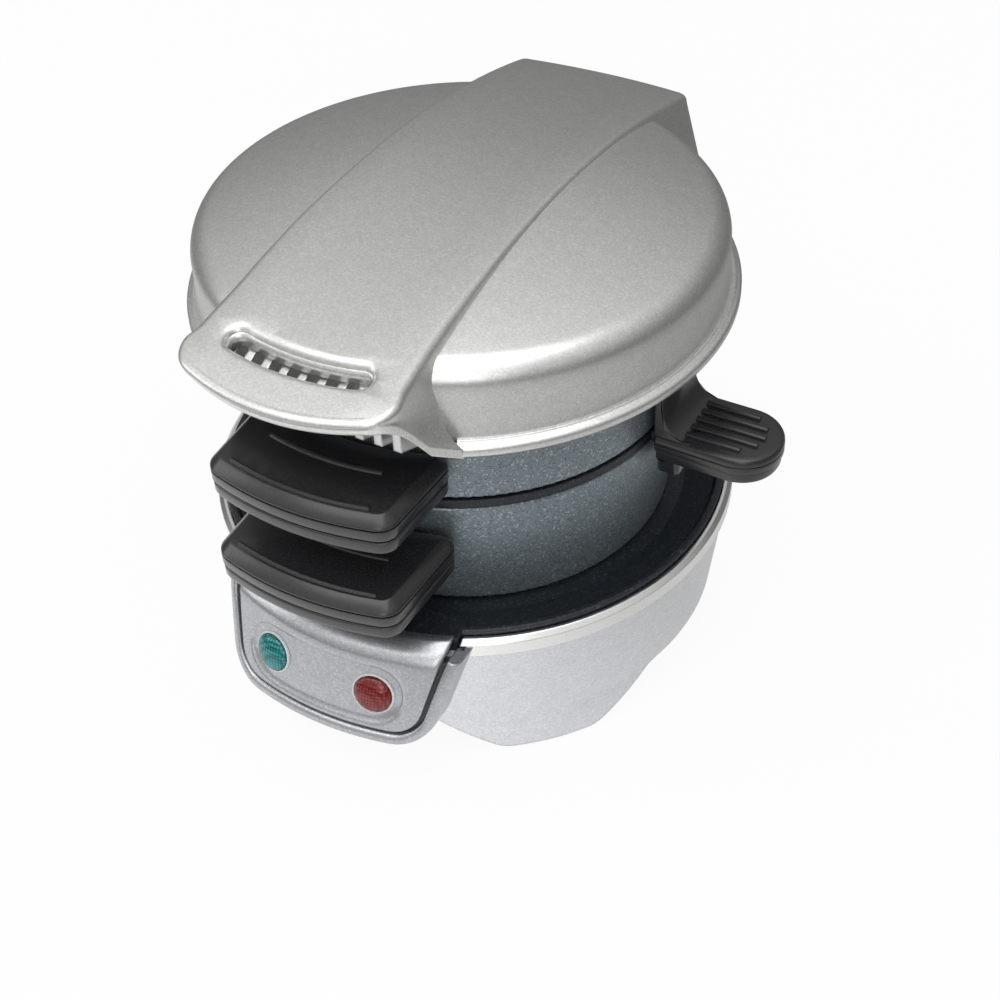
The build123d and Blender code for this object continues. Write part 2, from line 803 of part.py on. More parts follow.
def tang_pocket(top_z):
    """Room for the ring's tongue between a handle's shells, with a seating gap all round."""
    with BuildPart() as room:
        with Locations((0, -tang_reach / 2, handle_z(top_z))):
            Box(2 * (tang_half + seat_gap), tang_reach + 2 * seat_gap, tang_t + 2 * seat_gap)
    return room.part


def front_handle_top(front, top_z):
    """Upper shell: chamfered border, a raised bead near the front and a shallow thumb pocket."""
    with BuildPart() as shell:
        with BuildSketch(Plane.XY.offset(handle_z(top_z))):
            add(handle_outline(front, 0))
        extrude(amount=handle_top_shell)
        border = [e for e in shell.edges().group_by(Axis.Z)[-1] if e.center().Y < -ring_top_r - 2]
        chamfer(border, handle_chamfer)
        with BuildSketch(Plane.XY.offset(top_z)) as thumb:
            with Locations((0, -ring_top_r - 2.0)):
                Ellipse(16.5, 10.0)
        extrude(thumb.sketch, amount=-0.8, mode=Mode.SUBTRACT)
        bead_r = front - handle_chamfer - 1.0
        with BuildSketch(Plane.XY.offset(top_z - 0.3)) as bead:
            SlotArc(CenterArc((0, 0), bead_r, 270 - 14, 28), 1.1)
        extrude(bead.sketch, amount=0.8)
        add(tang_pocket(top_z), mode=Mode.SUBTRACT)
        with BuildSketch(Plane.XY.offset(handle_z(top_z))) as holes:
            with Locations(*handle_screw_places):
                Circle(handle_screw_r + screw_hole_clearance)
        extrude(holes.sketch, amount=handle_top_shell - 1.6, mode=Mode.SUBTRACT)
    return shell.part


def front_handle_bottom(front, top_z):
    """Lower shell: slightly smaller, with rounded lower edges."""
    thickness = handle_thickness - handle_top_shell - seat_gap
    with BuildPart() as shell:
        with BuildSketch(Plane.XY.offset(top_z - handle_thickness)):
            add(handle_outline(front, 0.5))
        extrude(amount=thickness)
        fillet([e for e in shell.edges().group_by(Axis.Z)[0] if e.center().Y < -ring_top_r - 2], 1.4)
        add(tang_pocket(top_z), mode=Mode.SUBTRACT)
        with BuildSketch(Plane.XY.offset(top_z - handle_thickness)) as holes:
            with Locations(*handle_screw_places):
                Circle(handle_screw_r + screw_hole_clearance)
        extrude(holes.sketch, amount=thickness, mode=Mode.SUBTRACT)
    return shell.part


def front_handle_screws(top_z):
    """Two pan-head screws from below, through the lower shell and the tongue."""
    low_z = top_z - handle_thickness
    with BuildPart() as pair:
        with BuildSketch(Plane.XY.offset(low_z - 1.5)):
            with Locations(*handle_screw_places):
                Circle(2.5)
        extrude(amount=1.5 - seat_gap)
        with BuildSketch(Plane.XY.offset(low_z - 1.0)):
            with Locations(*handle_screw_places):
                Circle(handle_screw_r)
        extrude(amount=handle_thickness - 1.0)
    return pair.part


with BuildPart() as lower_handle_top:
    add(front_handle_top(lower_handle_front, lower_handle_top_z))

with BuildPart() as lower_handle_bottom:
    add(front_handle_bottom(lower_handle_front, lower_handle_top_z))

with BuildPart() as lower_handle_screws:
    add(front_handle_screws(lower_handle_top_z))

with BuildPart() as upper_handle_top:
    add(front_handle_top(upper_handle_front, upper_handle_top_z))

with BuildPart() as upper_handle_bottom:
    add(front_handle_bottom(upper_handle_front, upper_handle_top_z))

with BuildPart() as upper_handle_screws:
    add(front_handle_screws(upper_handle_top_z))

# ------------------------------------------------------------------ swinging cooking plate
side_tang_half = 7.0
side_tang_end = 73.0
side_screw_places = [(69.0, -3.5), (69.0, 3.5)]
side_inner_x = ring_top_r + 1.6
with BuildPart() as cooking_plate:
    with BuildSketch(Plane.XY.offset(cooking_plate_z)):
        Circle(ring_top_r + 0.3)
        with Locations((pivot_x, pivot_y)):
            Circle(6.4)
        with Locations(Location((0, 0, 0), (0, 0, plate_pivot_angle))):
            with Locations((ring_top_r + 1.0, 0)):
                Rectangle(9.0, 12.8)
        with Locations((side_tang_end / 2 + 20, 0)):
            Rectangle(side_tang_end - 40, 2 * side_tang_half)
        with Locations((pivot_x, pivot_y)):
            Circle(pivot_screw_r + pin_clearance, mode=Mode.SUBTRACT)
        with Locations(*side_screw_places):
            Circle(handle_screw_r + screw_hole_clearance, mode=Mode.SUBTRACT)
    extrude(amount=cooking_plate_t)

with BuildPart() as plate_pivot_screw:
    with BuildSketch(Plane.XY.offset(upper_ring_z + 4.0 + seat_gap)):
        with Locations((pivot_x, pivot_y)):
            Circle(3.8)
    extrude(amount=2.0)
    with BuildSketch(Plane.XY.offset(cooking_plate_z - running_gap - 1.4)):
        with Locations((pivot_x, pivot_y)):
            Circle(pivot_screw_r)
    extrude(amount=upper_ring_z + 5.0 - cooking_plate_z + running_gap + 1.4)
    with BuildSketch(Plane.XY.offset(cooking_plate_z - running_gap - 1.6)):
        with Locations((pivot_x, pivot_y)):
            Circle(3.6)
    extrude(amount=1.6)


def side_handle_outline(inset):
    """Plan of the side handle: a bar with a round end, and a back edge round the rings."""
    half = side_handle_half - inset
    tip = side_handle_tip - inset
    with BuildSketch() as outline:
        with BuildLine():
            Line((side_inner_x, -half), (tip - half, -half))
            ThreePointArc((tip - half, -half), (tip, 0), (tip - half, half))
            Line((tip - half, half), (side_inner_x, half))
            Line((side_inner_x, half), (side_inner_x, -half))
        make_face()
    return outline.sketch


side_seam_z = cooking_plate_z + cooking_plate_t / 2 - 1.6
side_bottom_z = side_handle_top_z - side_handle_t
rib_pitch = 3.9
rib_width = 1.7
rib_height = 0.9


def side_tang_pocket():
    """Room for the plate's tongue between the side handle's shells."""
    with BuildPart() as room:
        with Locations((side_tang_end / 2, 0, cooking_plate_z + cooking_plate_t / 2)):
            Box(side_tang_end + 2 * seat_gap, 2 * (side_tang_half + seat_gap), cooking_plate_t + 2 * seat_gap)
    return room.part


with BuildPart() as plate_handle_top:
    with BuildSketch(Plane.XY.offset(side_seam_z)):
        add(side_handle_outline(0))
    extrude(amount=side_handle_top_z - side_seam_z)
    edge = [e for e in plate_handle_top.edges().group_by(Axis.Z)[-1] if e.center().X > side_inner_x + 1]
    fillet(edge, 1.4)
    # guard that rises beside the upper ring, scooped down to the grip
    with BuildSketch(Plane.XZ) as riser:
        with BuildLine():
            Line((side_inner_x, side_seam_z + 1), (side_inner_x, side_riser_top_z))
            Line((side_inner_x, side_riser_top_z), (side_inner_x + 2.6, side_riser_top_z))
            Line((side_inner_x + 2.6, side_riser_top_z), (side_inner_x + 4.0, side_handle_top_z + 8.0))
            RadiusArc((side_inner_x + 4.0, side_handle_top_z + 8.0), (side_inner_x + 11.0, side_handle_top_z), -9.0)
            Line((side_inner_x + 11.0, side_handle_top_z), (side_inner_x + 11.0, side_seam_z + 1))
            Line((side_inner_x + 11.0, side_seam_z + 1), (side_inner_x, side_seam_z + 1))
        make_face()
    extrude(riser.sketch, amount=side_handle_half - 0.8, both=True)
    with BuildSketch(Plane.XY.offset(side_handle_top_z - 0.3)) as ribs:
        with Locations((side_inner_x + 18.5, 0)):
            with GridLocations(0, rib_pitch, 1, 5):
                SlotOverall(15.0, rib_width)
    extrude(ribs.sketch, amount=rib_height + 0.3)
    add(side_tang_pocket(), mode=Mode.SUBTRACT)
    with BuildSketch(Plane.XY.offset(side_seam_z)) as holes:
        with Locations(*side_screw_places):
            Circle(handle_screw_r + screw_hole_clearance)
    extrude(holes.sketch, amount=side_handle_top_z - side_seam_z - 1.0, mode=Mode.SUBTRACT)

with BuildPart() as plate_handle_bottom:
    with BuildSketch(Plane.XY.offset(side_bottom_z)):
        add(side_handle_outline(0.4))
    extrude(amount=side_seam_z - seat_gap - side_bottom_z)
    edge = [e for e in plate_handle_bottom.edges().group_by(Axis.Z)[0] if e.center().X > side_inner_x + 1]
    fillet(edge, 1.4)
    # foot at the inner end
    with BuildSketch(Plane.XY.offset(side_bottom_z - 4.5)) as foot:
        with Locations((side_inner_x + 3.0, 0)):
            Rectangle(6.0, 2 * side_handle_half - 4.0)
        fillet(foot.vertices(), 1.5)
    extrude(foot.sketch, amount=6.0)
    with BuildSketch(Plane.XY.offset(side_bottom_z)) as holes:
        with Locations(*side_screw_places):
            Circle(handle_screw_r + screw_hole_clearance)
    extrude(holes.sketch, amount=side_seam_z - side_bottom_z, mode=Mode.SUBTRACT)

with BuildPart() as plate_handle_screws:
    with BuildSketch(Plane.XY.offset(side_bottom_z - 1.5)):
        with Locations(*side_screw_places):
            Circle(2.5)
    extrude(amount=1.5 - seat_gap)
    with BuildSketch(Plane.XY.offset(side_bottom_z - 1.0)):
        with Locations(*side_screw_places):
            Circle(handle_screw_r)
    extrude(amount=side_handle_top_z - side_bottom_z - 1.0)

# ------------------------------------------------------------------ lid
# A silver frame (flange, arched spine and handle in one), two domed panels beside the spine, and a
# black liner below that holds the upper heating plate.
liner_low_z = 101.0
liner_r = 66.0
ring_seat_r = 58.2
handle_root_y = 60.0
spine_front_y = 62.0
spine_wall = 2.2
plate_stud_r = 53.6
liner_screw_r = 61.0
lid_screw_r = 1.4


def dome_core(inset, low_z):
    """Solid inside the dome's surface, shrunk by an inset: upright wall, tight shoulder, flat crown."""
    with BuildPart() as core:
        with BuildSketch(Plane.XZ):
            with BuildLine():
                wall_r = dome_r - inset
                top_r = dome_r - dome_shoulder_r
                top_z = dome_shoulder_z + dome_shoulder_r - inset
                corner = (dome_shoulder_r - inset) * math.sqrt(0.5)
                Line((0, low_z), (wall_r, low_z))
                Line((wall_r, low_z), (wall_r, dome_shoulder_z))
                ThreePointArc((wall_r, dome_shoulder_z), (top_r + corner, dome_shoulder_z + corner), (top_r, top_z))
                rise = dome_crown_z - inset - top_z
                ThreePointArc((top_r, top_z), (0.52 * top_r, top_z + 0.74 * rise), (0, dome_crown_z - inset))
                Line((0, dome_crown_z - inset), (0, low_z))
            make_face()
        revolve(axis=Axis.Z)
    return core.part


def spine_prism(grow):
    """Long solid under the spine's flanks: steep at the top, flared at the foot in front."""
    with BuildPart() as prism:
        with BuildSketch(Plane.XZ) as flared:
            with BuildLine():
                half = [
                    (spine_half_top + grow, spine_peak_z + 3.0),
                    (spine_half_top + grow, spine_peak_z),
                    (spine_half_top + 1.4 + grow, dome_shoulder_z),
                    (spine_half_top + 2.8 + grow, dome_shoulder_z - 7.0),
                    (spine_flare_half - 2.3 + grow, flange_top_z),
                    (spine_flare_half + grow, flange_low_z),
                ]
                Polyline(*half, *[(-x, z) for x, z in reversed(half)], close=True)
            make_face()
        extrude(flared.sketch, amount=spine_front_y)
        with BuildSketch(Plane.XZ) as straight:
            with BuildLine():
                half = [
                    (spine_half_top + grow, spine_peak_z + 3.0),
                    (spine_half_top + grow, spine_peak_z),
                    (spine_half_low + grow, spine_foot_z),
                ]
                Polyline(*half, *[(-x, z) for x, z in reversed(half)], close=True)
            make_face()
        extrude(straight.sketch, amount=-(spine_back_y + grow))
    return prism.part


def spine_side(inset, front_y, low_z):
    """Arched side view of the spine: round back corner, foot lower behind than in front."""
    back_y = spine_back_y - inset
    with BuildPart() as side:
        with BuildSketch(Plane.YZ) as view:
            with BuildLine():
                ThreePointArc(
                    (-front_y, spine_z(-front_y) - inset),
                    (0, spine_z(0) - inset),
                    (back_y, spine_z(back_y) - inset),
                )
                Line((back_y, spine_z(back_y) - inset), (back_y, spine_foot_z))
                Line((back_y, spine_foot_z), (flange_r - 4.0, spine_foot_z))
                Line((flange_r - 4.0, spine_foot_z), (flange_r - 4.0, low_z))
                Line((flange_r - 4.0, low_z), (-front_y, low_z))
                Line((-front_y, low_z), (-front_y, spine_z(-front_y) - inset))
            make_face()
            corner = [v for v in view.vertices() if v.X > back_y - 1 and v.Y > spine_foot_z + 5]
            fillet(corner, 4.0 - inset)
        extrude(amount=flange_r, both=True)
    return side.part


def cheek_tracks(grow):
    """Plan of the two cheeks under the handle: they flare outwards to meet the flange."""
    outer = [(33.2, -58.8), (30.2, -61.9), (28.4, -66.0), (27.9, -70.0), (28.0, -73.6)]
    inner = [(26.0, -73.6), (25.9, -70.0), (26.4, -65.6), (28.4, -60.6), (30.4, -58.0)]
    with BuildSketch() as tracks:
        for side in (-1, 1):
            with BuildLine():
                out_track = [(side * (x + grow), y) for x, y in outer]
                in_track = [(side * (x - grow), y + grow * (y > -59)) for x, y in inner]
                Spline(*out_track)
                Line(out_track[-1], in_track[0])
                Spline(*in_track)
                Line(in_track[-1], out_track[0])
            make_face()
    return tracks.sketch


with BuildPart() as cover_frame:
    add(spine_prism(0))
    add(spine_side(0, spine_front_y, flange_low_z), mode=Mode.INTERSECT)
    with BuildPart(mode=Mode.PRIVATE) as hollow:
        add(spine_prism(-spine_wall))
        add(spine_side(spine_wall, spine_front_y + 5, spine_foot_z - 5), mode=Mode.INTERSECT)
        with Locations((0, (flange_r + spine_back_y - spine_wall) / 2, spine_foot_z)):
            Box(2 * (spine_half_low - spine_wall - 0.2), spine_back_y - spine_wall - flange_r + 2, 12)
    add(hollow.part, mode=Mode.SUBTRACT)
    add(dome_core(4.2, flange_low_z - 10), mode=Mode.SUBTRACT)
    with Locations((0, 0, liner_low_z + 3.6)):
        Cylinder(flange_r - 1.8, 12.0, align=(Align.CENTER, Align.CENTER, Align.MAX), mode=Mode.SUBTRACT)
    # strips that the domed panels are bonded to
    with BuildPart(mode=Mode.PRIVATE) as strips:
        add(dome_core(dome_sheet + seat_gap, flange_top_z - 1))
        add(dome_core(dome_sheet + 1.6, flange_top_z - 2), mode=Mode.SUBTRACT)
        with Locations((0, 0, dome_shoulder_z)):
            Box(2 * (spine_half_low + 4.5), 4 * dome_r, 40, mode=Mode.INTERSECT)
        add(spine_prism(-spine_wall + 0.4), mode=Mode.SUBTRACT)
        with Locations((0, -handle_root_y - 6, dome_shoulder_z)):
            Box(80, 20, 40, mode=Mode.SUBTRACT)
    add(strips.part)
    # flange all round
    revolve(
        turned(
            [
                (ring_seat_r, flange_top_z),
                (dome_r + 0.5, flange_top_z),
                (flange_r, flange_top_z - 1.0),
                (flange_r, flange_low_z),
                (flange_r - 1.8, flange_low_z),
                (flange_r - 1.8, liner_low_z + 3.6),
                (ring_seat_r, liner_low_z + 3.6),
            ]
        ),
        axis=Axis.Z,
    )
    with Locations((0, -handle_root_y - 10, flange_low_z)):
        Box(2 * (spine_flare_half - 3.6), 20, 10, mode=Mode.SUBTRACT)
    # the spine's foot is open behind for the hinge
    with Locations((0, (flange_r + spine_back_y - spine_wall) / 2 + 1.2, flange_low_z)):
        Box(2 * (spine_half_low - spine_wall - 0.4), spine_back_y - spine_wall - flange_r - 1.0, 12, mode=Mode.SUBTRACT)
    # handle plate, part of the same arch, bowed in front
    with BuildPart(mode=Mode.PRIVATE) as grip:
        with BuildSketch(Plane.XY.offset(flange_low_z)) as plan:
            with BuildLine():
                half = lid_handle_half
                corner_y = -lid_handle_front + 2.4
                ThreePointArc((-half, corner_y), (0, -lid_handle_front), (half, corner_y))
                Line((half, corner_y), (spine_half_top + 0.3, -handle_root_y + 1.0))
                Line((spine_half_top + 0.3, -handle_root_y + 1.0), (-spine_half_top - 0.3, -handle_root_y + 1.0))
                Line((-spine_half_top - 0.3, -handle_root_y + 1.0), (-half, corner_y))
            make_face()
            fillet([v for v in plan.vertices() if v.Y < -handle_root_y - 5], 3.0)
        extrude(plan.sketch, amount=40)
        with BuildSketch(Plane.YZ) as band:
            with BuildLine():
                front = -lid_handle_front - 1
                back = -handle_root_y + 2
                middle = (front + back) / 2
                ThreePointArc((front, spine_z(front)), (middle, spine_z(middle)), (back, spine_z(back)))
                Line((back, spine_z(back)), (back, spine_z(back) - lid_handle_t))
                ThreePointArc(
                    (back, spine_z(back) - lid_handle_t),
                    (middle, spine_z(middle) - lid_handle_t),
                    (front, spine_z(front) - lid_handle_t),
                )
                Line((front, spine_z(front) - lid_handle_t), (front, spine_z(front)))
            make_face()
        extrude(band.sketch, amount=40, both=True, mode=Mode.INTERSECT)
        with BuildSketch(Plane.XY.offset(flange_low_z)) as slot:
            SlotArc(CenterArc((0, 0), slot_arc_r, 270 - slot_half_angle, 2 * slot_half_angle), slot_height)
        extrude(slot.sketch, amount=40, mode=Mode.SUBTRACT)
    add(grip.part)
    # cheeks that sweep from the flange up to the handle
    with BuildPart(mode=Mode.PRIVATE) as cheeks:
        with BuildSketch(Plane.XY.offset(flange_low_z)):
            add(cheek_tracks(0))
        extrude(amount=20)
        with BuildSketch(Plane.YZ) as sweep:
            with BuildLine():
                Spline(
                    (-57.0, flange_low_z),
                    (-60.5, flange_low_z + 0.8),
                    (-65.5, flange_low_z + 6.5),
                    (-69.0, flange_low_z + 13.0),
                    (-74.5, spine_z(-74.5) - lid_handle_t + 0.2),
                )
                Line((-74.5, spine_z(-74.5) - lid_handle_t + 0.2), (-74.5, spine_z(-74.5) - 2.0))
                Line((-74.5, spine_z(-74.5) - 2.0), (-57.0, spine_z(-57.0) - 2.0))
                Line((-57.0, spine_z(-57.0) - 2.0), (-57.0, flange_low_z))
            make_face()
        extrude(sweep.sketch, amount=40, both=True, mode=Mode.INTERSECT)
    add(cheeks.part)
    # bosses for the liner's and the hinge's screws
    with BuildSketch(Plane.XY.offset(liner_low_z + 3.6)) as bosses:
        with PolarLocations(liner_screw_r, 4, start_angle=45):
            Circle(2.4)
    extrude(bosses.sketch, amount=9.0)
    with BuildSketch(Plane.XY.offset(liner_low_z + 3.0)) as holes:
        with PolarLocations(liner_screw_r, 4, start_angle=45):
            Circle(lid_screw_r + screw_hole_clearance)
    extrude(holes.sketch, amount=8.0, mode=Mode.SUBTRACT)
    with BuildSketch(Plane.XY.offset(spine_foot_z + 5.0 + seat_gap)) as bosses:
        with Locations((-9.0, 75.2), (9.0, 75.2)):
            Circle(3.6)
    extrude(bosses.sketch, amount=14.0)
    with BuildSketch(Plane.XY.offset(spine_foot_z + 5.0)) as holes:
        with Locations((-9.0, 75.2), (9.0, 75.2)):
            Circle(lid_screw_r + screw_hole_clearance)
    extrude(holes.sketch, amount=10.0, mode=Mode.SUBTRACT)


def dome_panel(side):
    """One domed panel beside the spine. side is -1 or 1."""
    with BuildPart() as panel:
        add(dome_core(0, flange_top_z + seat_gap))
        add(dome_core(dome_sheet, flange_top_z - 2), mode=Mode.SUBTRACT)
        with Locations((side * dome_r, 0, dome_shoulder_z)):
            Box(2 * dome_r, 3 * dome_r, 40, mode=Mode.INTERSECT)
        add(spine_prism(crease), mode=Mode.SUBTRACT)
        with Locations((0, -handle_root_y - 10, dome_shoulder_z)):
            Box(2 * (spine_flare_half + 0.3), 20, 30, mode=Mode.SUBTRACT)
        with BuildSketch(Plane.XY.offset(flange_low_z)) as room:
            add(cheek_tracks(crease))
        extrude(room.sketch, amount=24, mode=Mode.SUBTRACT)
    return panel.part


with BuildPart() as cover_panel_left:
    add(dome_panel(-1))

with BuildPart() as cover_panel_right:
    add(dome_panel(1))

fin_count = 9
fin_pitch = 4.4
fin_t = 1.2
liner_top_z = 110.0
with BuildPart() as cover_liner:
    revolve(
        turned(
            [
                (57.6, liner_low_z),
                (liner_r - 2.0, liner_low_z),
                (liner_r, liner_low_z + 1.4),
                (liner_r, liner_low_z + 3.6 - seat_gap),
                (57.6, liner_low_z + 3.6 - seat_gap),
                (57.6, liner_top_z),
                (50.4, liner_top_z),
                (50.4, liner_top_z - 1.4),
                (56.0, liner_top_z - 1.4),
                (56.0, liner_low_z + 1.8),
                (57.6, liner_low_z + 1.8),
            ]
        ),
        axis=Axis.Z,
    )
    for side in (-1, 1):
        with Locations((side * 31.2, -handle_root_y - 8.0, liner_low_z + 4.0)):
            Box(8.0, 21.0, 5.4, mode=Mode.SUBTRACT)
    # apron and fins behind the handle's slot
    with BuildPart(mode=Mode.PRIVATE) as apron:
        with Locations((0, -handle_root_y - 1.2, liner_low_z + 2.0)):
            Box(46.4, 1.6, 17.2, align=(Align.CENTER, Align.CENTER, Align.MIN))
        with BuildSketch(Plane.YZ) as fin:
            with BuildLine():
                Polyline(
                    (-handle_root_y - 1.0, liner_low_z + 6.0),
                    (-handle_root_y - 1.0, spine_z(-62.0) - lid_handle_t - 1.4),
                    (-71.8, spine_z(-71.8) - lid_handle_t - 0.8),
                    (-71.8, liner_low_z + 13.0),
                    close=True,
                )
            make_face()
        for index in range(fin_count):
            place = (index - (fin_count - 1) / 2) * fin_pitch
            extrude(fin.sketch.moved(Location((place, 0, 0))), amount=fin_t / 2, both=True)
    add(apron.part)
    with BuildSketch(Plane.XY.offset(liner_low_z - 1)) as holes:
        with PolarLocations(liner_screw_r, 4, start_angle=45):
            Circle(lid_screw_r + screw_hole_clearance)
        with PolarLocations(plate_stud_r, 4, start_angle=45):
            Circle(lid_screw_r + screw_hole_clearance)
    extrude(holes.sketch, amount=12.0, mode=Mode.SUBTRACT)

upper_plate_z = upper_ring_top_z + running_gap
upper_plate_t = 2.2
with BuildPart() as upper_heating_plate:
    revolve(
        turned(
            [
                (0, upper_plate_z),
                (55.6, upper_plate_z),
                (57.6 - seat_gap, upper_plate_z + 0.9),
                (57.6 - seat_gap, upper_plate_z + upper_plate_t),
                (0, upper_plate_z + upper_plate_t),
            ]
        ),
        axis=Axis.Z,
    )
    with BuildSketch(Plane.XY.offset(upper_plate_z + 1.0)) as studs:
        with PolarLocations(plate_stud_r, 4, start_angle=45):
            Circle(2.4)
    extrude(studs.sketch, amount=liner_top_z - 1.4 - seat_gap - upper_plate_z - 1.0)
    with BuildSketch(Plane.XY.offset(upper_plate_z + upper_plate_t)) as holes:
        with PolarLocations(plate_stud_r, 4, start_angle=45):
            Circle(lid_screw_r + screw_hole_clearance)
    extrude(holes.sketch, amount=12.0, mode=Mode.SUBTRACT)

with BuildPart() as upper_heating_element:
    add(heating_element(upper_plate_z + upper_plate_t, 1))

with BuildPart() as heat_shield:
    with BuildSketch(Plane.XY.offset(liner_top_z + seat_gap)):
        Circle(57.0)
        with PolarLocations(plate_stud_r, 4, start_angle=45):
            Circle(lid_screw_r + screw_hole_clearance, mode=Mode.SUBTRACT)
        with Locations((0, 20.0)):
            SlotOverall(22.0, 8.0, mode=Mode.SUBTRACT)
    extrude(amount=0.8)

with BuildPart() as upper_plate_screws:
    with BuildSketch(Plane.XY.offset(liner_top_z + 0.8 + 2 * seat_gap)):
        with PolarLocations(plate_stud_r, 4, start_angle=45):
            Circle(2.6)
    extrude(amount=1.6)
    with BuildSketch(Plane.XY.offset(liner_top_z + 1.4)):
        with PolarLocations(plate_stud_r, 4, start_angle=45):
            Circle(lid_screw_r)
    extrude(amount=-7.0)

with BuildPart() as liner_screws:
    with BuildSketch(Plane.XY.offset(liner_low_z - 1.6 - seat_gap)):
        with PolarLocations(liner_screw_r, 4, start_angle=45):
            Circle(2.6)
    extrude(amount=1.6)
    with BuildSketch(Plane.XY.offset(liner_low_z - 1.0)):
        with PolarLocations(liner_screw_r, 4, start_angle=45):
            Circle(lid_screw_r)
    extrude(amount=10.0)

bridge_z = spine_foot_z + 2.0
with BuildPart() as cover_hinge:
    add(
        lugs(
            cover_lug_x,
            [
                (72.0, bridge_z + 1.0),
                (79.6, bridge_z + 1.0),
                (pin_y + hub_r - 0.1, pin_z + 0.8),
                (pin_y - hub_r + 0.1, pin_z - 0.8),
            ],
        )
    )
    with Locations((0, 74.9, bridge_z)):
        Box(2 * pin_half, 9.4, 3.0, align=(Align.CENTER, Align.CENTER, Align.MIN))
    with BuildSketch(Plane.XY.offset(bridge_z)) as holes:
        with Locations((-9.0, 75.2), (9.0, 75.2)):
            Circle(lid_screw_r + screw_hole_clearance)
    extrude(holes.sketch, amount=3.0, mode=Mode.SUBTRACT)

with BuildPart() as cover_hinge_screws:
    with BuildSketch(Plane.XY.offset(bridge_z - 1.6 - seat_gap)):
        with Locations((-9.0, 75.2), (9.0, 75.2)):
            Circle(2.6)
    extrude(amount=1.6)
    with BuildSketch(Plane.XY.offset(bridge_z - 1.0)):
        with Locations((-9.0, 75.2), (9.0, 75.2)):
            Circle(lid_screw_r)
    extrude(amount=12.0)

# ------------------------------------------------------------------ all pieces
pieces = {
    "base_housing": base_housing.part,
    "base_feet": base_feet.part,
    "bottom_cover": bottom_cover.part,
    "bottom_screws": bottom_screws.part,
    "base_rim": base_rim.part,
    "control_panel": control_panel.part,
    "panel_bezel": panel_bezel.part,
    "preheat_lens": preheat_lens.part,
    "power_lens": power_lens.part,
    "lamp_holder": lamp_holder.part,
    "indicator_lamps": indicator_lamps.part,
    "lower_heating_plate": lower_heating_plate.part,
    "lower_heating_element": lower_heating_element.part,
    "plate_screws": plate_screws.part,
    "thermostat": thermostat.part,
    "thermal_fuse": thermal_fuse.part,
    "fuse_clip": fuse_clip.part,
    "terminal_block": terminal_block.part,
    "cord_gland": cord_gland.part,
    "hinge_post": hinge_post.part,
    "post_screws": post_screws.part,
    "hinge_pin": hinge_pin.part,
    "pin_clips": pin_clips.part,
    "lower_ring": lower_ring.part,
    "lower_handle_top": lower_handle_top.part,
    "lower_handle_bottom": lower_handle_bottom.part,
    "lower_handle_screws": lower_handle_screws.part,
    "upper_ring": upper_ring.part,
    "upper_handle_top": upper_handle_top.part,
    "upper_handle_bottom": upper_handle_bottom.part,
    "upper_handle_screws": upper_handle_screws.part,
    "plate_pivot_screw": plate_pivot_screw.part,
    "cooking_plate": cooking_plate.part,
    "plate_handle_top": plate_handle_top.part,
    "plate_handle_bottom": plate_handle_bottom.part,
    "plate_handle_screws": plate_handle_screws.part,
    "cover_frame": cover_frame.part,
    "cover_panel_left": cover_panel_left.part,
    "cover_panel_right": cover_panel_right.part,
    "cover_liner": cover_liner.part,
    "liner_screws": liner_screws.part,
    "upper_heating_plate": upper_heating_plate.part,
    "upper_heating_element": upper_heating_element.part,
    "heat_shield": heat_shield.part,
    "upper_plate_screws": upper_plate_screws.part,
    "cover_hinge": cover_hinge.part,
    "cover_hinge_screws": cover_hinge_screws.part,
}

# ------------------------------------------------------------------ move to the final place, and write
origin_x = (side_handle_tip - rim_r) / 2
origin_y = (spine_back_y - lower_handle_front) / 2
for name, piece in pieces.items():
    piece.label = name
    piece.position = (-origin_x, -origin_y, 0)
    export_step(piece, f"parts/{name}.step")
    print(name, len(piece.solids()), piece.is_valid, round(piece.volume, 1))

print("shift", -origin_x, -origin_y)
print("pin axis at", -origin_x, pin_y - origin_y, pin_z)
print("plate pivot at", pivot_x - origin_x, pivot_y - origin_y, cooking_plate_z)
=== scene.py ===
import json
import math

import bmesh
import bpy
from mathutils import Matrix, Vector


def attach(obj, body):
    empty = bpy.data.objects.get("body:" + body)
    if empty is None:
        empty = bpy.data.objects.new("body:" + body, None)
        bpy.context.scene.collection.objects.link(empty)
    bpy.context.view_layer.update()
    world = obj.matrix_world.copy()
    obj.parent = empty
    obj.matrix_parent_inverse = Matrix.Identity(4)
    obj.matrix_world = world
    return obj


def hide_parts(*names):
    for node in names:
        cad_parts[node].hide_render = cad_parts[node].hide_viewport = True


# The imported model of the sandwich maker: every rigid piece at its real place, in metres.
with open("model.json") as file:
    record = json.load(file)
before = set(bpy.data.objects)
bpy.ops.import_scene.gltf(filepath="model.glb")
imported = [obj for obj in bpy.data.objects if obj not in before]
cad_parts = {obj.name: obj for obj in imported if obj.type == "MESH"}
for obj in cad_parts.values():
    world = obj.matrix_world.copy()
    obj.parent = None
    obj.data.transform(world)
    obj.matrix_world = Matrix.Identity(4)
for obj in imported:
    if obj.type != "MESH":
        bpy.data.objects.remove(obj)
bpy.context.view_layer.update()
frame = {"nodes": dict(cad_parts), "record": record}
nodes = frame["nodes"]
scene = bpy.context.scene
MM = 0.001

# ---------------------------------------------------------------- studio: floor, lights, camera
# A pale sweep of paper with soft light from above and from both sides, as for a catalogue
# picture. The camera stands to the right of the panel and looks down at about 41 degrees.
RING_AXIS = Vector((-8.05, 0.35, 0.0)) * MM


def srgb(code):
    """Linear colour of an sRGB hex code."""
    parts = [int(code[i:i + 2], 16) / 255 for i in (0, 2, 4)]
    return tuple(c / 12.92 if c <= 0.04045 else ((c + 0.055) / 1.055) ** 2.4 for c in parts) + (1.0,)


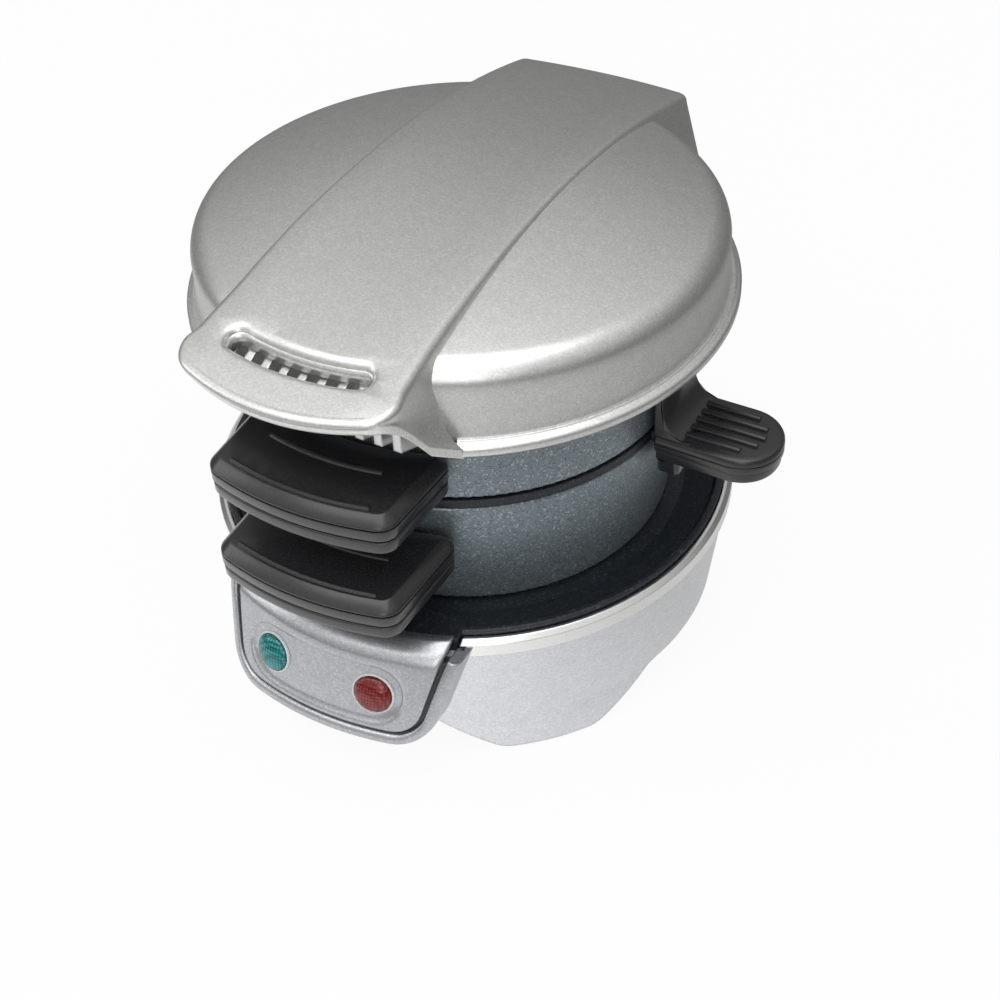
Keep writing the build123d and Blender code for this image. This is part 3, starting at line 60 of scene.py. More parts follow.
def add_node(tree, kind, settings=None, **links):
    """One shader or geometry node with its settings; links name an input and what feeds it."""
    node = tree.nodes.new(kind)
    for name, value in (settings or {}).items():
        if name in node.inputs:
            node.inputs[name].default_value = value
        else:
            setattr(node, name, value)
    for name, source in links.items():
        key = int(name[3:]) if name.startswith("in_") else name.replace("_", " ")
        tree.links.new(source, node.inputs[key])
    return node


def aim_camera():
    """Camera matched to the picture: position, turn, roll, lens and framing."""
    azimuth, elevation, roll = math.radians(31.5507), math.radians(40.8363), math.radians(-3.5530)
    distance = 0.44826
    target = RING_AXIS + Vector((0, 0, 0.04785))
    back = Vector((
        math.sin(azimuth) * math.cos(elevation),
        -math.cos(azimuth) * math.cos(elevation),
        math.sin(elevation),
    ))
    right = Vector((math.cos(azimuth), math.sin(azimuth), 0))
    up = back.cross(right)
    right_rolled = math.cos(roll) * right + math.sin(roll) * up
    up_rolled = -math.sin(roll) * right + math.cos(roll) * up
    data = bpy.data.cameras.new("picture_camera")
    data.sensor_width = 36.0
    data.lens = 1668.1 * 36.0 / 1000.0
    data.shift_x = (500.0 - 473.9) / 1000.0
    data.shift_y = -(500.0 - 443.1) / 1000.0
    data.clip_start, data.clip_end = 0.01, 20.0
    camera = bpy.data.objects.new("picture_camera", data)
    scene.collection.objects.link(camera)
    camera.matrix_world = Matrix((
        (right_rolled.x, up_rolled.x, back.x, target.x + back.x * distance),
        (right_rolled.y, up_rolled.y, back.y, target.y + back.y * distance),
        (right_rolled.z, up_rolled.z, back.z, target.z + back.z * distance),
        (0, 0, 0, 1),
    ))
    scene.camera = camera


aim_camera()


def paper_floor():
    """White paper under the object: it keeps the shadow and fades to white. In the object's
    gloss it is the table top, bright near the object and darker further out."""
    mesh = bpy.data.meshes.new("paper")
    size = 6.0
    mesh.from_pydata([(-size, -size, 0), (size, -size, 0), (size, size, 0), (-size, size, 0)], [], [(0, 1, 2, 3)])
    floor = bpy.data.objects.new("paper", mesh)
    scene.collection.objects.link(floor)
    material = bpy.data.materials.new("white_paper")
    material.use_nodes = True
    tree = material.node_tree
    tree.nodes.clear()
    output = add_node(tree, "ShaderNodeOutputMaterial")
    paper = add_node(tree, "ShaderNodeBsdfDiffuse", {"Color": srgb("F2F2F2"), "Roughness": 0.5})
    glow = add_node(tree, "ShaderNodeEmission", {"Color": (1, 1, 1, 1), "Strength": 1.0})
    path = add_node(tree, "ShaderNodeLightPath")
    place = add_node(tree, "ShaderNodeTexCoord")
    shifted = add_node(tree, "ShaderNodeVectorMath", {"operation": "ADD"}, in_0=place.outputs["Object"])
    shifted.inputs[1].default_value = (0.06, 0.12, 0.0)
    reach = add_node(tree, "ShaderNodeVectorMath", {"operation": "LENGTH"}, in_0=shifted.outputs[0])
    table = add_node(tree, "ShaderNodeValToRGB", None, Fac=reach.outputs["Value"])
    table.color_ramp.elements[0].position, table.color_ramp.elements[0].color = 0.10, (1.0, 1.0, 1.0, 1)
    table.color_ramp.elements[1].position, table.color_ramp.elements[1].color = 0.55, (0.12, 0.12, 0.12, 1)
    for place_on, level in ((0.18, 0.62), (0.25, 0.62), (0.33, 0.30)):
        stop = table.color_ramp.elements.new(place_on)
        stop.color = (level, level, level, 1)
    sheen = add_node(tree, "ShaderNodeEmission", {"Strength": 1.0}, Color=table.outputs["Color"])
    seen = add_node(tree, "ShaderNodeMath", {"operation": "MULTIPLY"}, in_0=path.outputs["Is Camera Ray"])
    seen.inputs[1].default_value = 0.93
    mirrored = add_node(tree, "ShaderNodeMath", {"operation": "MAXIMUM"}, in_0=path.outputs["Is Glossy Ray"],
                        in_1=path.outputs["Is Transmission Ray"])
    plain = add_node(tree, "ShaderNodeMixShader", None, in_0=seen.outputs[0], in_1=paper.outputs[0], in_2=glow.outputs[0])
    mix = add_node(tree, "ShaderNodeMixShader", None, in_0=mirrored.outputs[0], in_1=plain.outputs[0], in_2=sheen.outputs[0])
    tree.links.new(mix.outputs[0], output.inputs["Surface"])
    mesh.materials.append(material)


paper_floor()


def soft_light(name, place, target, size, power):
    """A rectangular softbox that points at a target."""
    data = bpy.data.lights.new(name, "AREA")
    data.shape = "RECTANGLE"
    data.size, data.size_y = size
    data.energy = power
    lamp = bpy.data.objects.new(name, data)
    scene.collection.objects.link(lamp)
    lamp.location = place
    lamp.rotation_mode = "QUATERNION"
    lamp.rotation_quaternion = (Vector(target) - Vector(place)).to_track_quat("-Z", "Y")


soft_light("softbox_above", (0.05, -0.35, 1.15), (0, 0, 0.08), (1.3, 1.0), 6.8)
soft_light("softbox_left", (-1.0, -0.55, 0.55), (0, 0, 0.08), (0.4, 0.8), 1.6)
soft_light("softbox_right", (0.50, -1.00, 0.45), (0, 0, 0.06), (0.5, 0.7), 1.8)


def white_room():
    """The room: white to the camera; in gloss the ceiling is bright and the walls behind are darker."""
    world = bpy.data.worlds.new("white_room")
    scene.world = world
    world.use_nodes = True
    tree = world.node_tree
    tree.nodes.clear()
    output = add_node(tree, "ShaderNodeOutputWorld")
    way = add_node(tree, "ShaderNodeTexCoord")
    parts = add_node(tree, "ShaderNodeSeparateXYZ", None, Vector=way.outputs["Generated"])
    lean = add_node(tree, "ShaderNodeMath", {"operation": "MULTIPLY_ADD"}, in_0=parts.outputs["Y"], in_2=parts.outputs["Z"])
    lean.inputs[1].default_value = -0.36
    turn = add_node(tree, "ShaderNodeMath", {"operation": "MULTIPLY_ADD"}, in_0=parts.outputs["X"], in_2=lean.outputs[0])
    turn.inputs[1].default_value = 0.04
    ramp = add_node(tree, "ShaderNodeValToRGB", None, Fac=turn.outputs[0])
    ramp.color_ramp.elements[0].position, ramp.color_ramp.elements[0].color = 0.0, (0.17, 0.17, 0.17, 1)
    ramp.color_ramp.elements[1].position, ramp.color_ramp.elements[1].color = 0.98, (0.95, 0.95, 0.95, 1)
    middle = ramp.color_ramp.elements.new(0.5)
    middle.color = (0.56, 0.56, 0.55, 1)
    path = add_node(tree, "ShaderNodeLightPath")
    room_gloss = add_node(tree, "ShaderNodeBackground", {"Strength": 1.0}, Color=ramp.outputs["Color"])
    room_light = add_node(tree, "ShaderNodeBackground", {"Color": (1, 1, 1, 1), "Strength": 0.55})
    room_seen = add_node(tree, "ShaderNodeBackground", {"Color": (1, 1, 1, 1), "Strength": 1.0})
    mirrored = add_node(tree, "ShaderNodeMath", {"operation": "MAXIMUM"}, in_0=path.outputs["Is Glossy Ray"],
                        in_1=path.outputs["Is Transmission Ray"])
    lit = add_node(tree, "ShaderNodeMixShader", None, in_0=mirrored.outputs[0], in_1=room_light.outputs[0], in_2=room_gloss.outputs[0])
    mix = add_node(tree, "ShaderNodeMixShader", None, in_0=path.outputs["Is Camera Ray"], in_1=lit.outputs[0], in_2=room_seen.outputs[0])
    tree.links.new(mix.outputs[0], output.inputs["Surface"])


white_room()
scene.view_settings.view_transform = "Standard"

# ---------------------------------------------------------------- base housing
# One injection moulding in ABS with the panel's snout and four lobes to stand on, sprayed
# with a silver paint whose metal flake shows as a fine sparkle. It is screwed up from below.


def start_material(name, metallic, roughness, **sockets):
    """A named material with its shader's plain values set; returns it, its tree, shader and place."""
    material = bpy.data.materials.new(name)
    material.use_nodes = True
    tree = material.node_tree
    shader = tree.nodes["Principled BSDF"]
    shader.inputs["Metallic"].default_value = metallic
    shader.inputs["Roughness"].default_value = roughness
    for socket, value in sockets.items():
        shader.inputs[socket.replace("_", " ")].default_value = value
    place = add_node(tree, "ShaderNodeTexCoord").outputs["Object"]
    return material, tree, shader, place


def flake_paint(name, colour, dark, bright, roughness):
    """Silver paint: 0.1 mm metal flakes, drawn at 0.35 mm so that they show, over a mist of 3 mm."""
    material, tree, shader, place = start_material(name, 0.88, roughness, Coat_Weight=0.15, Coat_Roughness=0.3)
    flakes = add_node(tree, "ShaderNodeTexVoronoi", {"Scale": 1 / (0.35 * MM), "Randomness": 1.0}, Vector=place)
    flake_tone = add_node(tree, "ShaderNodeSeparateColor", None, Color=flakes.outputs["Color"])
    mist = add_node(tree, "ShaderNodeTexNoise", {"Scale": 1 / (3.0 * MM), "Detail": 3.0}, Vector=place)
    ramp = add_node(tree, "ShaderNodeValToRGB", None, Fac=flake_tone.outputs[0])
    ramp.color_ramp.elements[0].position = 0.06
    ramp.color_ramp.elements[0].color = srgb(dark)
    ramp.color_ramp.elements[1].position = 0.93
    ramp.color_ramp.elements[1].color = srgb(bright)
    middle = ramp.color_ramp.elements.new(0.35)
    middle.color = srgb(colour)
    upper = ramp.color_ramp.elements.new(0.72)
    upper.color = srgb(colour)
    cloud = add_node(tree, "ShaderNodeMapRange", {"From Min": 0.3, "From Max": 0.7, "To Min": 0.975, "To Max": 1.02},
                     Value=mist.outputs["Fac"])
    tinted = add_node(tree, "ShaderNodeVectorMath", {"operation": "SCALE"}, in_0=ramp.outputs["Color"],
                      Scale=cloud.outputs[0])
    tree.links.new(tinted.outputs[0], shader.inputs["Base Color"])
    edge = add_node(tree, "ShaderNodeBevel", {"samples": 6, "Radius": 0.7 * MM})
    relief = add_node(tree, "ShaderNodeBump", {"Strength": 0.05, "Distance": 0.0002}, Height=flake_tone.outputs[1],
                      Normal=edge.outputs[0])
    tree.links.new(relief.outputs[0], shader.inputs["Normal"])
    return material


def rounded_copy(node, piece_name, body, material, width=0.5, segments=2, angle=32, slot=None):
    """Copy of a CAD solid with its triangles joined to flat faces and its sharp edges rounded."""
    mesh = nodes[node].data.copy()
    mesh.name = piece_name
    if "custom_normal" in mesh.attributes:
        mesh.attributes.remove(mesh.attributes["custom_normal"])
    work = bmesh.new()
    work.from_mesh(mesh)
    bmesh.ops.remove_doubles(work, verts=work.verts, dist=3e-6)
    bmesh.ops.dissolve_limit(work, angle_limit=math.radians(0.5), verts=work.verts, edges=work.edges)
    for face in work.faces:
        face.smooth = True
    work.to_mesh(mesh)
    work.free()
    mesh.materials.clear()
    mesh.materials.append(material)
    piece = bpy.data.objects.new(piece_name, mesh)
    scene.collection.objects.link(piece)
    bevel = piece.modifiers.new("rounded_edges", "BEVEL")
    bevel.width = width * MM
    bevel.segments = segments
    bevel.limit_method = "ANGLE"
    bevel.angle_limit = math.radians(angle)
    bevel.use_clamp_overlap = False
    bevel.harden_normals = True
    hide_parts(node)
    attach(piece, body)
    return piece


body_paint = flake_paint("silver_painted_abs", "DCDEE1", "D1D4D7", "E8EAEC", 0.34)

# ---------------------------------------------------------------- lid frame: spine, handle and flanks
# One injection moulding in ABS, sprayed silver: an arched spine that runs out in front into a
# flat handle with a slot, with hollow flanks that sweep down from the handle to the flange.


def at(x, y, z):
    """A point given in millimetres about the rings' axis."""
    return Vector((x, y, z)) * MM + RING_AXIS


def skin_piece(name, body, material, sheets, replaced=(), smooth=True, recalc=True):
    """One object from sheets of points; a sheet is rows of equal length, with quads between them."""
    work = bmesh.new()
    for rows, closed in sheets:
        made = [[work.verts.new(at(*p)) for p in row] for row in rows]
        for first, second in zip(made, made[1:]):
            count = len(first)
            for i in range(count if closed else count - 1):
                j = (i + 1) % count
                work.faces.new((first[i], first[j], second[j], second[i]))
    bmesh.ops.remove_doubles(work, verts=work.verts, dist=2e-6)
    bmesh.ops.dissolve_degenerate(work, edges=work.edges, dist=1e-6)
    if recalc:
        bmesh.ops.recalc_face_normals(work, faces=work.faces)
    for face in work.faces:
        face.smooth = smooth
    mesh = bpy.data.meshes.new(name)
    work.to_mesh(mesh)
    work.free()
    mesh.materials.append(material)
    piece = bpy.data.objects.new(name, mesh)
    scene.collection.objects.link(piece)
    if replaced:
        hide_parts(*replaced)
    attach(piece, body)
    return piece


def applied(piece, keep_sharp=32):
    """The piece with its modifiers made part of its mesh, and shaded smooth except at sharp edges."""
    shown = piece.evaluated_get(bpy.context.evaluated_depsgraph_get())
    mesh = bpy.data.meshes.new_from_object(shown)
    piece.modifiers.clear()
    piece.data = mesh
    mesh.shade_smooth()
    mesh.set_sharp_from_angle(angle=math.radians(keep_sharp))
    return piece


SPINE_R, SPINE_PEAK, SPINE_PEAK_Y = 300.0, 132.0, -9.0
HANDLE_FRONT, HANDLE_HALF, HANDLE_BOW, HANDLE_CORNER = 84.3, 27.5, 6.6, 8.5
SPINE_BACK, SPINE_BACK_BOW = 82.4, 1.6


def spine_z(y):
    """Height of the spine's arched top along its middle."""
    return SPINE_PEAK - SPINE_R + math.sqrt(SPINE_R ** 2 - (y - SPINE_PEAK_Y) ** 2)


def between(table, value):
    """Values of a table of (key, values...) at a key, by straight lines."""
    if value <= table[0][0]:
        return table[0][1:]
    for low_row, high_row in zip(table, table[1:]):
        if value <= high_row[0]:
            share = (value - low_row[0]) / (high_row[0] - low_row[0])
            return tuple(a + (b - a) * share for a, b in zip(low_row[1:], high_row[1:]))
    return table[-1][1:]


def dome_z(x, y):
    """Height of the domed panels' outer surface."""
    rho = math.hypot(x, y)
    cap_edge = 58.3 + 6.8 * math.sin(math.radians(15.5))
    cap_r = cap_edge / math.sin(math.radians(15.5))
    if rho <= cap_edge:
        return 117.5 + 6.8 * math.cos(math.radians(15.5)) - cap_r * math.cos(math.radians(15.5)) + math.sqrt(cap_r ** 2 - rho ** 2)
    if rho < 65.0:
        return 117.5 + math.sqrt(max(0.0, 6.8 ** 2 - (rho - 58.3) ** 2))
    return 105.0


spine_half = [(-84, 27.5), (-80, 27.4), (-70, 26.7), (-60, 26.15), (-50, 25.85), (-40, 25.65), (-20, 25.2),
              (0, 24.95), (40, 24.8), (80, 25.3), (84, 25.4)]


def crest_outline():
    """Right half of the top's edge in plan, from the middle in front to the middle behind."""
    points = []
    bow_r = (HANDLE_HALF ** 2 + HANDLE_BOW ** 2) / (2 * HANDLE_BOW)
    corner_y = -HANDLE_FRONT + HANDLE_BOW
    # the bowed front edge, then a rounded corner, then the long side
    centre_x = HANDLE_HALF - HANDLE_CORNER
    reach = bow_r - HANDLE_CORNER
    centre_y = -HANDLE_FRONT + bow_r - math.sqrt(reach ** 2 - centre_x ** 2)
    turn = math.asin(centre_x / reach)
    for k in range(13):
        angle = turn * k / 12
        points.append((bow_r * math.sin(angle), -HANDLE_FRONT + bow_r - bow_r * math.cos(angle)))
    for k in range(1, 11):
        angle = turn + (math.pi / 2 - turn) * k / 10
        points.append((centre_x + HANDLE_CORNER * math.sin(angle), centre_y - HANDLE_CORNER * math.cos(angle)))
    y = points[-1][1]
    steps = 44
    back_y = SPINE_BACK - SPINE_BACK_BOW - 4.0
    for k in range(1, steps + 1):
        row_y = y + (back_y - y) * k / steps
        points.append((between(spine_half, row_y)[0], row_y))
    half = points[-1][0]
    for k in range(1, 7):
        angle = math.pi / 2 * k / 6
        points.append((half - 3.0 + 3.0 * math.cos(angle), back_y + 3.0 * math.sin(angle) * 0.98))
    edge_x, edge_y = points[-1]
    for k in range(1, 9):
        x = edge_x * (1 - k / 8)
        points.append((x, edge_y + (SPINE_BACK - edge_y) * (1 - (x / edge_x) ** 2)))
    return points


# where the flank ends below each place along the side: y of the edge above, then x, y, z
flank_foot = [
    (-81.5, 25.6, -80.6, 122.0),
    (-78.0, 26.5, -77.4, 122.9),
    (-75.0, 27.3, -74.4, 121.4),
    (-72.5, 28.1, -71.6, 117.9),
    (-70.5, 28.8, -69.2, 114.2),
    (-68.8, 29.6, -66.4, 110.1),
    (-67.2, 30.6, -62.4, 106.2),
    (-65.6, 33.4, -59.4, 105.0),
    (-64.2, 32.0, -57.8, 105.5),
    (-62.8, 30.6, -58.3, 105.8),
    (-61.4, 29.1, -58.3, 106.9),
    (-60.0, 28.2, -58.3, 110.0),
    (-58.6, 27.5, -58.4, 115.5),
    (-57.4, 26.9, -57.9, 119.6),
    (-56.4, 26.3, -56.8, 122.6),
    (-55.0, 25.9, -55.4, 124.2),
    (-52.0, 25.6, -52.2, 124.8),
]
S_BAND = 3.1


def dome_top(x, y):
    """Height of the domed panels, which sit a degree lower behind than in front."""
    return dome_z(x, y) - 1.1 * y / 60.0


def rib(x, y, normal):
    """Points down one rib of the skin: over the rounded edge, down the flank and over the band."""
    z = spine_z(y)
    nx, ny = normal
    radius = between([(-79, 0.9), (-70, 2.2), (-55, 2.6), (-30, 1.6), (30, 1.3), (60, 1.8), (84, 2.2)], y)[0]
    points = []
    for k in range(6):
        angle = math.pi / 2 * k / 5
        inset, drop = radius * (1 - math.sin(angle)), radius * (1 - math.cos(angle))
        points.append(Vector((x - nx * inset, y - ny * inset, spine_z(y - ny * inset) - drop)))
    start = points[-1]
    # in front the edge falls straight to the band, set back under the handle's lip
    front_foot = Vector((x - 0.9 * nx, y - 0.9 * ny, z - 1.6))
    front_low = Vector((x - 1.5 * nx, y - 1.5 * ny, z - 3.7))
    share_front = min(1.0, max(0.0, (-75.5 - y) / 4.5))
    out = 0.25
    if y < -52.0:
        foot = Vector(between(flank_foot, y))
        sag = between([(-79, 0.0), (-73, 0.10), (-67, 0.10), (-62.5, 0.02), (-52, 0.0)], y)[0]
        if y < -64.2:
            low = foot + Vector((0.0, 0.3, -S_BAND))
        else:
            low = foot + Vector((-0.8, 0.8, -2.0))
            out = 0.0
        foot = foot.lerp(front_foot, share_front)
        low = low.lerp(front_low, share_front)
    elif y < 56.0:
        foot = Vector((x + 0.15, y, dome_top(x, y) - 1.0))
        low = Vector((x - 0.3, y, foot.z - 1.6))
        sag, out = 0.0, 0.0
    else:
        depth = between([(56, 118.0), (58, 110.0), (60, 104.0), (62.5, 98.0)], y)[0]
        spread = (z - depth) / 31.0 * 8.0
        foot = Vector((x + nx * spread * abs(nx), y, depth))
        low = Vector((foot.x - 0.4 * nx, y - 0.4 * ny, depth))
        sag, out = 0.0, 0.0
    length = (foot - start).length
    inward = Vector((nx, ny, 0.0))
    for k in range(1, 9):
        share = k / 8
        points.append(start.lerp(foot, share) - inward * sag * length * math.sin(math.pi * share))
    # the band stands a little proud of the flank
    points.append(foot + inward * out - Vector((0, 0, 0.25)))
    points.append(low + inward * out)
    return points


outline = crest_outline()
normals = []
for i, (x, y) in enumerate(outline):
    before = outline[i - 1] if i else (-outline[1][0], outline[1][1])
    after = outline[i + 1] if i + 1 < len(outline) else (-outline[-2][0], outline[-2][1])
    along = Vector((after[0] - before[0], after[1] - before[1])).normalized()
    normals.append((along.y, -along.x))
ribs = [rib(x, y, n) for (x, y), n in zip(outline, normals)]
mirrored = [[(-p.x, p.y, p.z) for p in row] for row in ribs]
top_rows = []
for right, left in zip(ribs, mirrored):
    top_rows.append([tuple(Vector(left[0]).lerp(Vector(right[0]), k / 6)) for k in range(7)])

lid_paint = flake_paint("silver_painted_lid", "DCDCDA", "D2D2D0", "E8E8E6", 0.34)
lid_frame = skin_piece("lid_spine_and_handle", "cover", lid_paint,
                       [(ribs, False), (mirrored, False), (top_rows, False)], replaced=("cover_frame",))
if lid_frame.data.polygons[len(lid_frame.data.polygons) - 20].normal.z < 0:
    lid_frame.data.flip_normals()
wall = lid_frame.modifiers.new("wall", "SOLIDIFY")
wall.thickness = 1.8 * MM
wall.offset = -1.0

SLOT_R, SLOT_HALF_ANGLE, SLOT_HALF = 70.6, 12.7, 2.8


def slot_loop(grow, drop):
    """Outline of the handle's slot, grown outwards by some millimetres, at a depth below the top."""
    half, points = SLOT_HALF + grow, []
    turn = math.radians(SLOT_HALF_ANGLE)
    for k in range(25):
        angle = -turn + 2 * turn * k / 24
        points.append(((SLOT_R + half) * math.sin(angle), -(SLOT_R + half) * math.cos(angle)))
    for k in range(1, 12):
        angle = turn + math.pi * k / 12
        cx, cy = SLOT_R * math.sin(turn), -SLOT_R * math.cos(turn)
        points.append((cx + half * math.sin(angle), cy - half * math.cos(angle)))
    for k in range(25):
        angle = turn - 2 * turn * k / 24
        points.append(((SLOT_R - half) * math.sin(angle), -(SLOT_R - half) * math.cos(angle)))
    for k in range(1, 12):
        angle = -turn - math.pi + math.pi * k / 12
        cx, cy = -SLOT_R * math.sin(turn), -SLOT_R * math.cos(turn)
        points.append((cx + half * math.sin(angle), cy - half * math.cos(angle)))
    return [(x, y, spine_z(y) - drop) for x, y in points]


rim_steps = [(1.75, -0.6), (1.6, 0.0), (1.0, 0.14), (0.55, 0.42), (0.2, 0.9), (0.0, 1.6), (-0.1, 6.0)]
cutter_rows = [slot_loop(grow, drop) for grow, drop in rim_steps]
work = bmesh.new()
made = [[work.verts.new(at(*p)) for p in row] for row in cutter_rows]
for first, second in zip(made, made[1:]):
    for i in range(len(first)):
        j = (i + 1) % len(first)
        work.faces.new((first[i], first[j], second[j], second[i]))
work.faces.new(made[0])
work.faces.new(made[-1])
bmesh.ops.remove_doubles(work, verts=work.verts, dist=2e-6)
bmesh.ops.recalc_face_normals(work, faces=work.faces)
cutter_mesh = bpy.data.meshes.new("slot_cutter")
work.to_mesh(cutter_mesh)
work.free()
cutter = bpy.data.objects.new("slot_cutter", cutter_mesh)
scene.collection.objects.link(cutter)
cut = lid_frame.modifiers.new("slot", "BOOLEAN")
cut.operation = "DIFFERENCE"
cut.solver = "EXACT"
cut.object = cutter
applied(lid_frame)
bpy.data.objects.remove(cutter)

# the slot's inner wall, a collar that goes on down from the rounded rim
collar = [slot_loop(g, d) for g, d in [(0.0, 1.5), (-0.08, 5.2), (0.9, 5.2), (1.0, 1.6)]]
skin_piece("slot_collar", "cover", lid_paint, [(collar + collar[:1], True)])


# ---------------------------------------------------------------- lid: flange, domed panels and edge lines
# The flange is part of the frame's moulding: a lip, a raised bead and a ledge that the two domed
# panels sit on. The panels are moulded apart, sprayed the same silver and snapped in.


def turned_rows(profile, start, end, steps):
    """Rows of a profile of (radius, height) turned about the rings' axis; 0 degrees is the front."""
    rows = []
    for k in range(steps + 1):
        angle = math.radians(start + (end - start) * k / steps)
        rows.append([(r * math.sin(angle), -r * math.cos(angle), z) for r, z in profile])
    return rows


flange_profile = [(58.2, 106.2), (64.3, 106.2), (65.2, 105.9), (65.6, 105.35), (65.8, 105.35), (66.1, 105.55),
                  (66.5, 105.5), (66.7, 105.2), (67.3, 105.1), (67.8, 104.8), (68.0, 104.3), (68.0, 102.8), (67.8, 102.45),
                  (66.3, 102.4), (66.3, 104.4), (58.2, 104.4), (58.2, 106.2)]
flange_rows = turned_rows(flange_profile, 28.4, 331.6, 150)
flange = skin_piece("lid_flange", "cover", lid_paint, [(flange_rows, False)])

dome_profile = [(64.95 + 0.55 * ((117.5 - z) / 12.0) ** 2, z) for z in (105.4, 106.6, 108.5, 110.4, 112.3, 114.2, 116.1)]
for k in range(1, 13):
    angle = math.radians(74.5) * k / 12
    dome_profile.append((58.15 + 6.8 * math.cos(angle), 117.5 + 6.8 * math.sin(angle)))
cap_edge, cap_z = dome_profile[-1]
cap_r = cap_edge / math.sin(math.radians(15.5))
for k in range(1, 15):
    rho = cap_edge + (24.0 - cap_edge) * k / 14
    dome_profile.append((rho, cap_z - cap_r * math.cos(math.radians(15.5)) + math.sqrt(cap_r ** 2 - rho ** 2)))
inner = [(r - (1.6 if z < 118 else 1.0), z - (0.0 if z < 118 else 1.4)) for r, z in reversed(dome_profile)]
panel_profile = dome_profile + inner + dome_profile[:1]
for side, name in ((1, "right"), (-1, "left")):
    rows = turned_rows(panel_profile, 0, 360, 192)
    work = bmesh.new()
    made = [[work.verts.new(at(x, y, z - (1.1 * y / 60.0) * min(1.0, max(0.0, (z - 108.0) / 8.0)))) for x, y, z in row] for row in rows]
    for first, second in zip(made, made[1:]):
        for i in range(len(first) - 1):
            work.faces.new((first[i], first[i + 1], second[i + 1], second[i]))
    bmesh.ops.remove_doubles(work, verts=work.verts, dist=2e-6)
    geometry = work.verts[:] + work.edges[:] + work.faces[:]
    cut = bmesh.ops.bisect_plane(work, geom=geometry, plane_co=at(side * 24.3, 0, 0), plane_no=(-side, 0, 0), clear_outer=True)
    edges = [e for e in cut["geom_cut"] if isinstance(e, bmesh.types.BMEdge)]
    bmesh.ops.holes_fill(work, edges=edges, sides=0)
    bmesh.ops.recalc_face_normals(work, faces=work.faces)
    mesh = bpy.data.meshes.new("dome_panel_" + name)
    work.to_mesh(mesh)
    work.free()
    mesh.materials.append(lid_paint)
    panel = bpy.data.objects.new("dome_panel_" + name, mesh)
    scene.collection.objects.link(panel)
    mesh.shade_smooth()
    mesh.set_sharp_from_angle(angle=math.radians(32))
    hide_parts("cover_panel_" + name)
    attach(panel, "cover")

# ---------------------------------------------------------------- lid: apron and fins under the handle
# A wall between the flanks and eleven thin upright fins in front of it, moulded with the frame,
# which keep fingers off the hot ring. They show through the slot and below the handle's lip.


def new_tree(name, sizes):
    """An empty geometry tree with one Geometry input and named inputs for its sizes."""
    tree = bpy.data.node_groups.new(name, "GeometryNodeTree")
    tree.interface.new_socket("Geometry", in_out="INPUT", socket_type="NodeSocketGeometry")
    sockets = {}
    for label, kind, value in sizes:
        socket = tree.interface.new_socket(label, in_out="INPUT", socket_type="NodeSocket" + kind)
        if value is not None:
            socket.default_value = value
        sockets[label] = socket.identifier
    tree.interface.new_socket("Geometry", in_out="OUTPUT", socket_type="NodeSocketGeometry")
    return tree, sockets


def grown_piece(name, mesh, tree, sockets, values, body, material, replaced=()):
    """A plain mesh grown by a geometry tree from a seed mesh, then put on its body."""
    seed = bpy.data.objects.new(name, mesh)
    scene.collection.objects.link(seed)
    growth = seed.modifiers.new("growth", "NODES")
    growth.node_group = tree
    for label, value in values.items():
        growth[sockets[label]] = value
    bpy.context.view_layer.update()
    shown = seed.evaluated_get(bpy.context.evaluated_depsgraph_get())
    grown = bpy.data.meshes.new_from_object(shown)
    seed.modifiers.clear()
    seed.data = grown
    if not grown.materials:
        grown.materials.append(material)
    if replaced:
        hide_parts(*replaced)
    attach(seed, body)
    return seed


def row_tree():
    """Copies of the seed mesh in a row, centred on the seed, with a set step between them."""
    tree, sockets = new_tree("row_of_copies", [("Count", "Int", 11), ("Step", "Vector", (0.0, 0.0, 0.0)), ("Finish", "Material", None)])
    inputs = add_node(tree, "NodeGroupInput")
    less = add_node(tree, "ShaderNodeMath", {"operation": "SUBTRACT"}, in_0=inputs.outputs["Count"])
    less.inputs[1].default_value = 1.0
    half = add_node(tree, "ShaderNodeMath", {"operation": "MULTIPLY"}, in_0=less.outputs[0])
    half.inputs[1].default_value = -0.5
    start = add_node(tree, "ShaderNodeVectorMath", {"operation": "SCALE"}, in_0=inputs.outputs["Step"], Scale=half.outputs[0])
    line = add_node(tree, "GeometryNodeMeshLine", {"mode": "OFFSET"}, Count=inputs.outputs["Count"],
                    Start_Location=start.outputs[0], Offset=inputs.outputs["Step"])
    copies = add_node(tree, "GeometryNodeInstanceOnPoints", None, Points=line.outputs[0], Instance=inputs.outputs["Geometry"])
    solid = add_node(tree, "GeometryNodeRealizeInstances", None, Geometry=copies.outputs[0])
    finish = add_node(tree, "GeometryNodeSetMaterial", None, Geometry=solid.outputs[0], Material=inputs.outputs["Finish"])
    output = add_node(tree, "NodeGroupOutput")
    tree.links.new(finish.outputs[0], output.inputs[0])
    return tree, sockets


def plate_mesh(name, outline, half_thickness):
    """A flat plate whose outline is given in the upright plane y, z, thickened along x."""
    work = bmesh.new()
    sides = [[work.verts.new(at(x, y, z)) for y, z in outline] for x in (-half_thickness, half_thickness)]
    work.faces.new(sides[0])
    work.faces.new(sides[1])
    for i in range(len(outline)):
        j = (i + 1) % len(outline)
        work.faces.new((sides[0][i], sides[0][j], sides[1][j], sides[1][i]))
    bmesh.ops.recalc_face_normals(work, faces=work.faces)
    mesh = bpy.data.meshes.new(name)
    work.to_mesh(mesh)
    work.free()
    return mesh


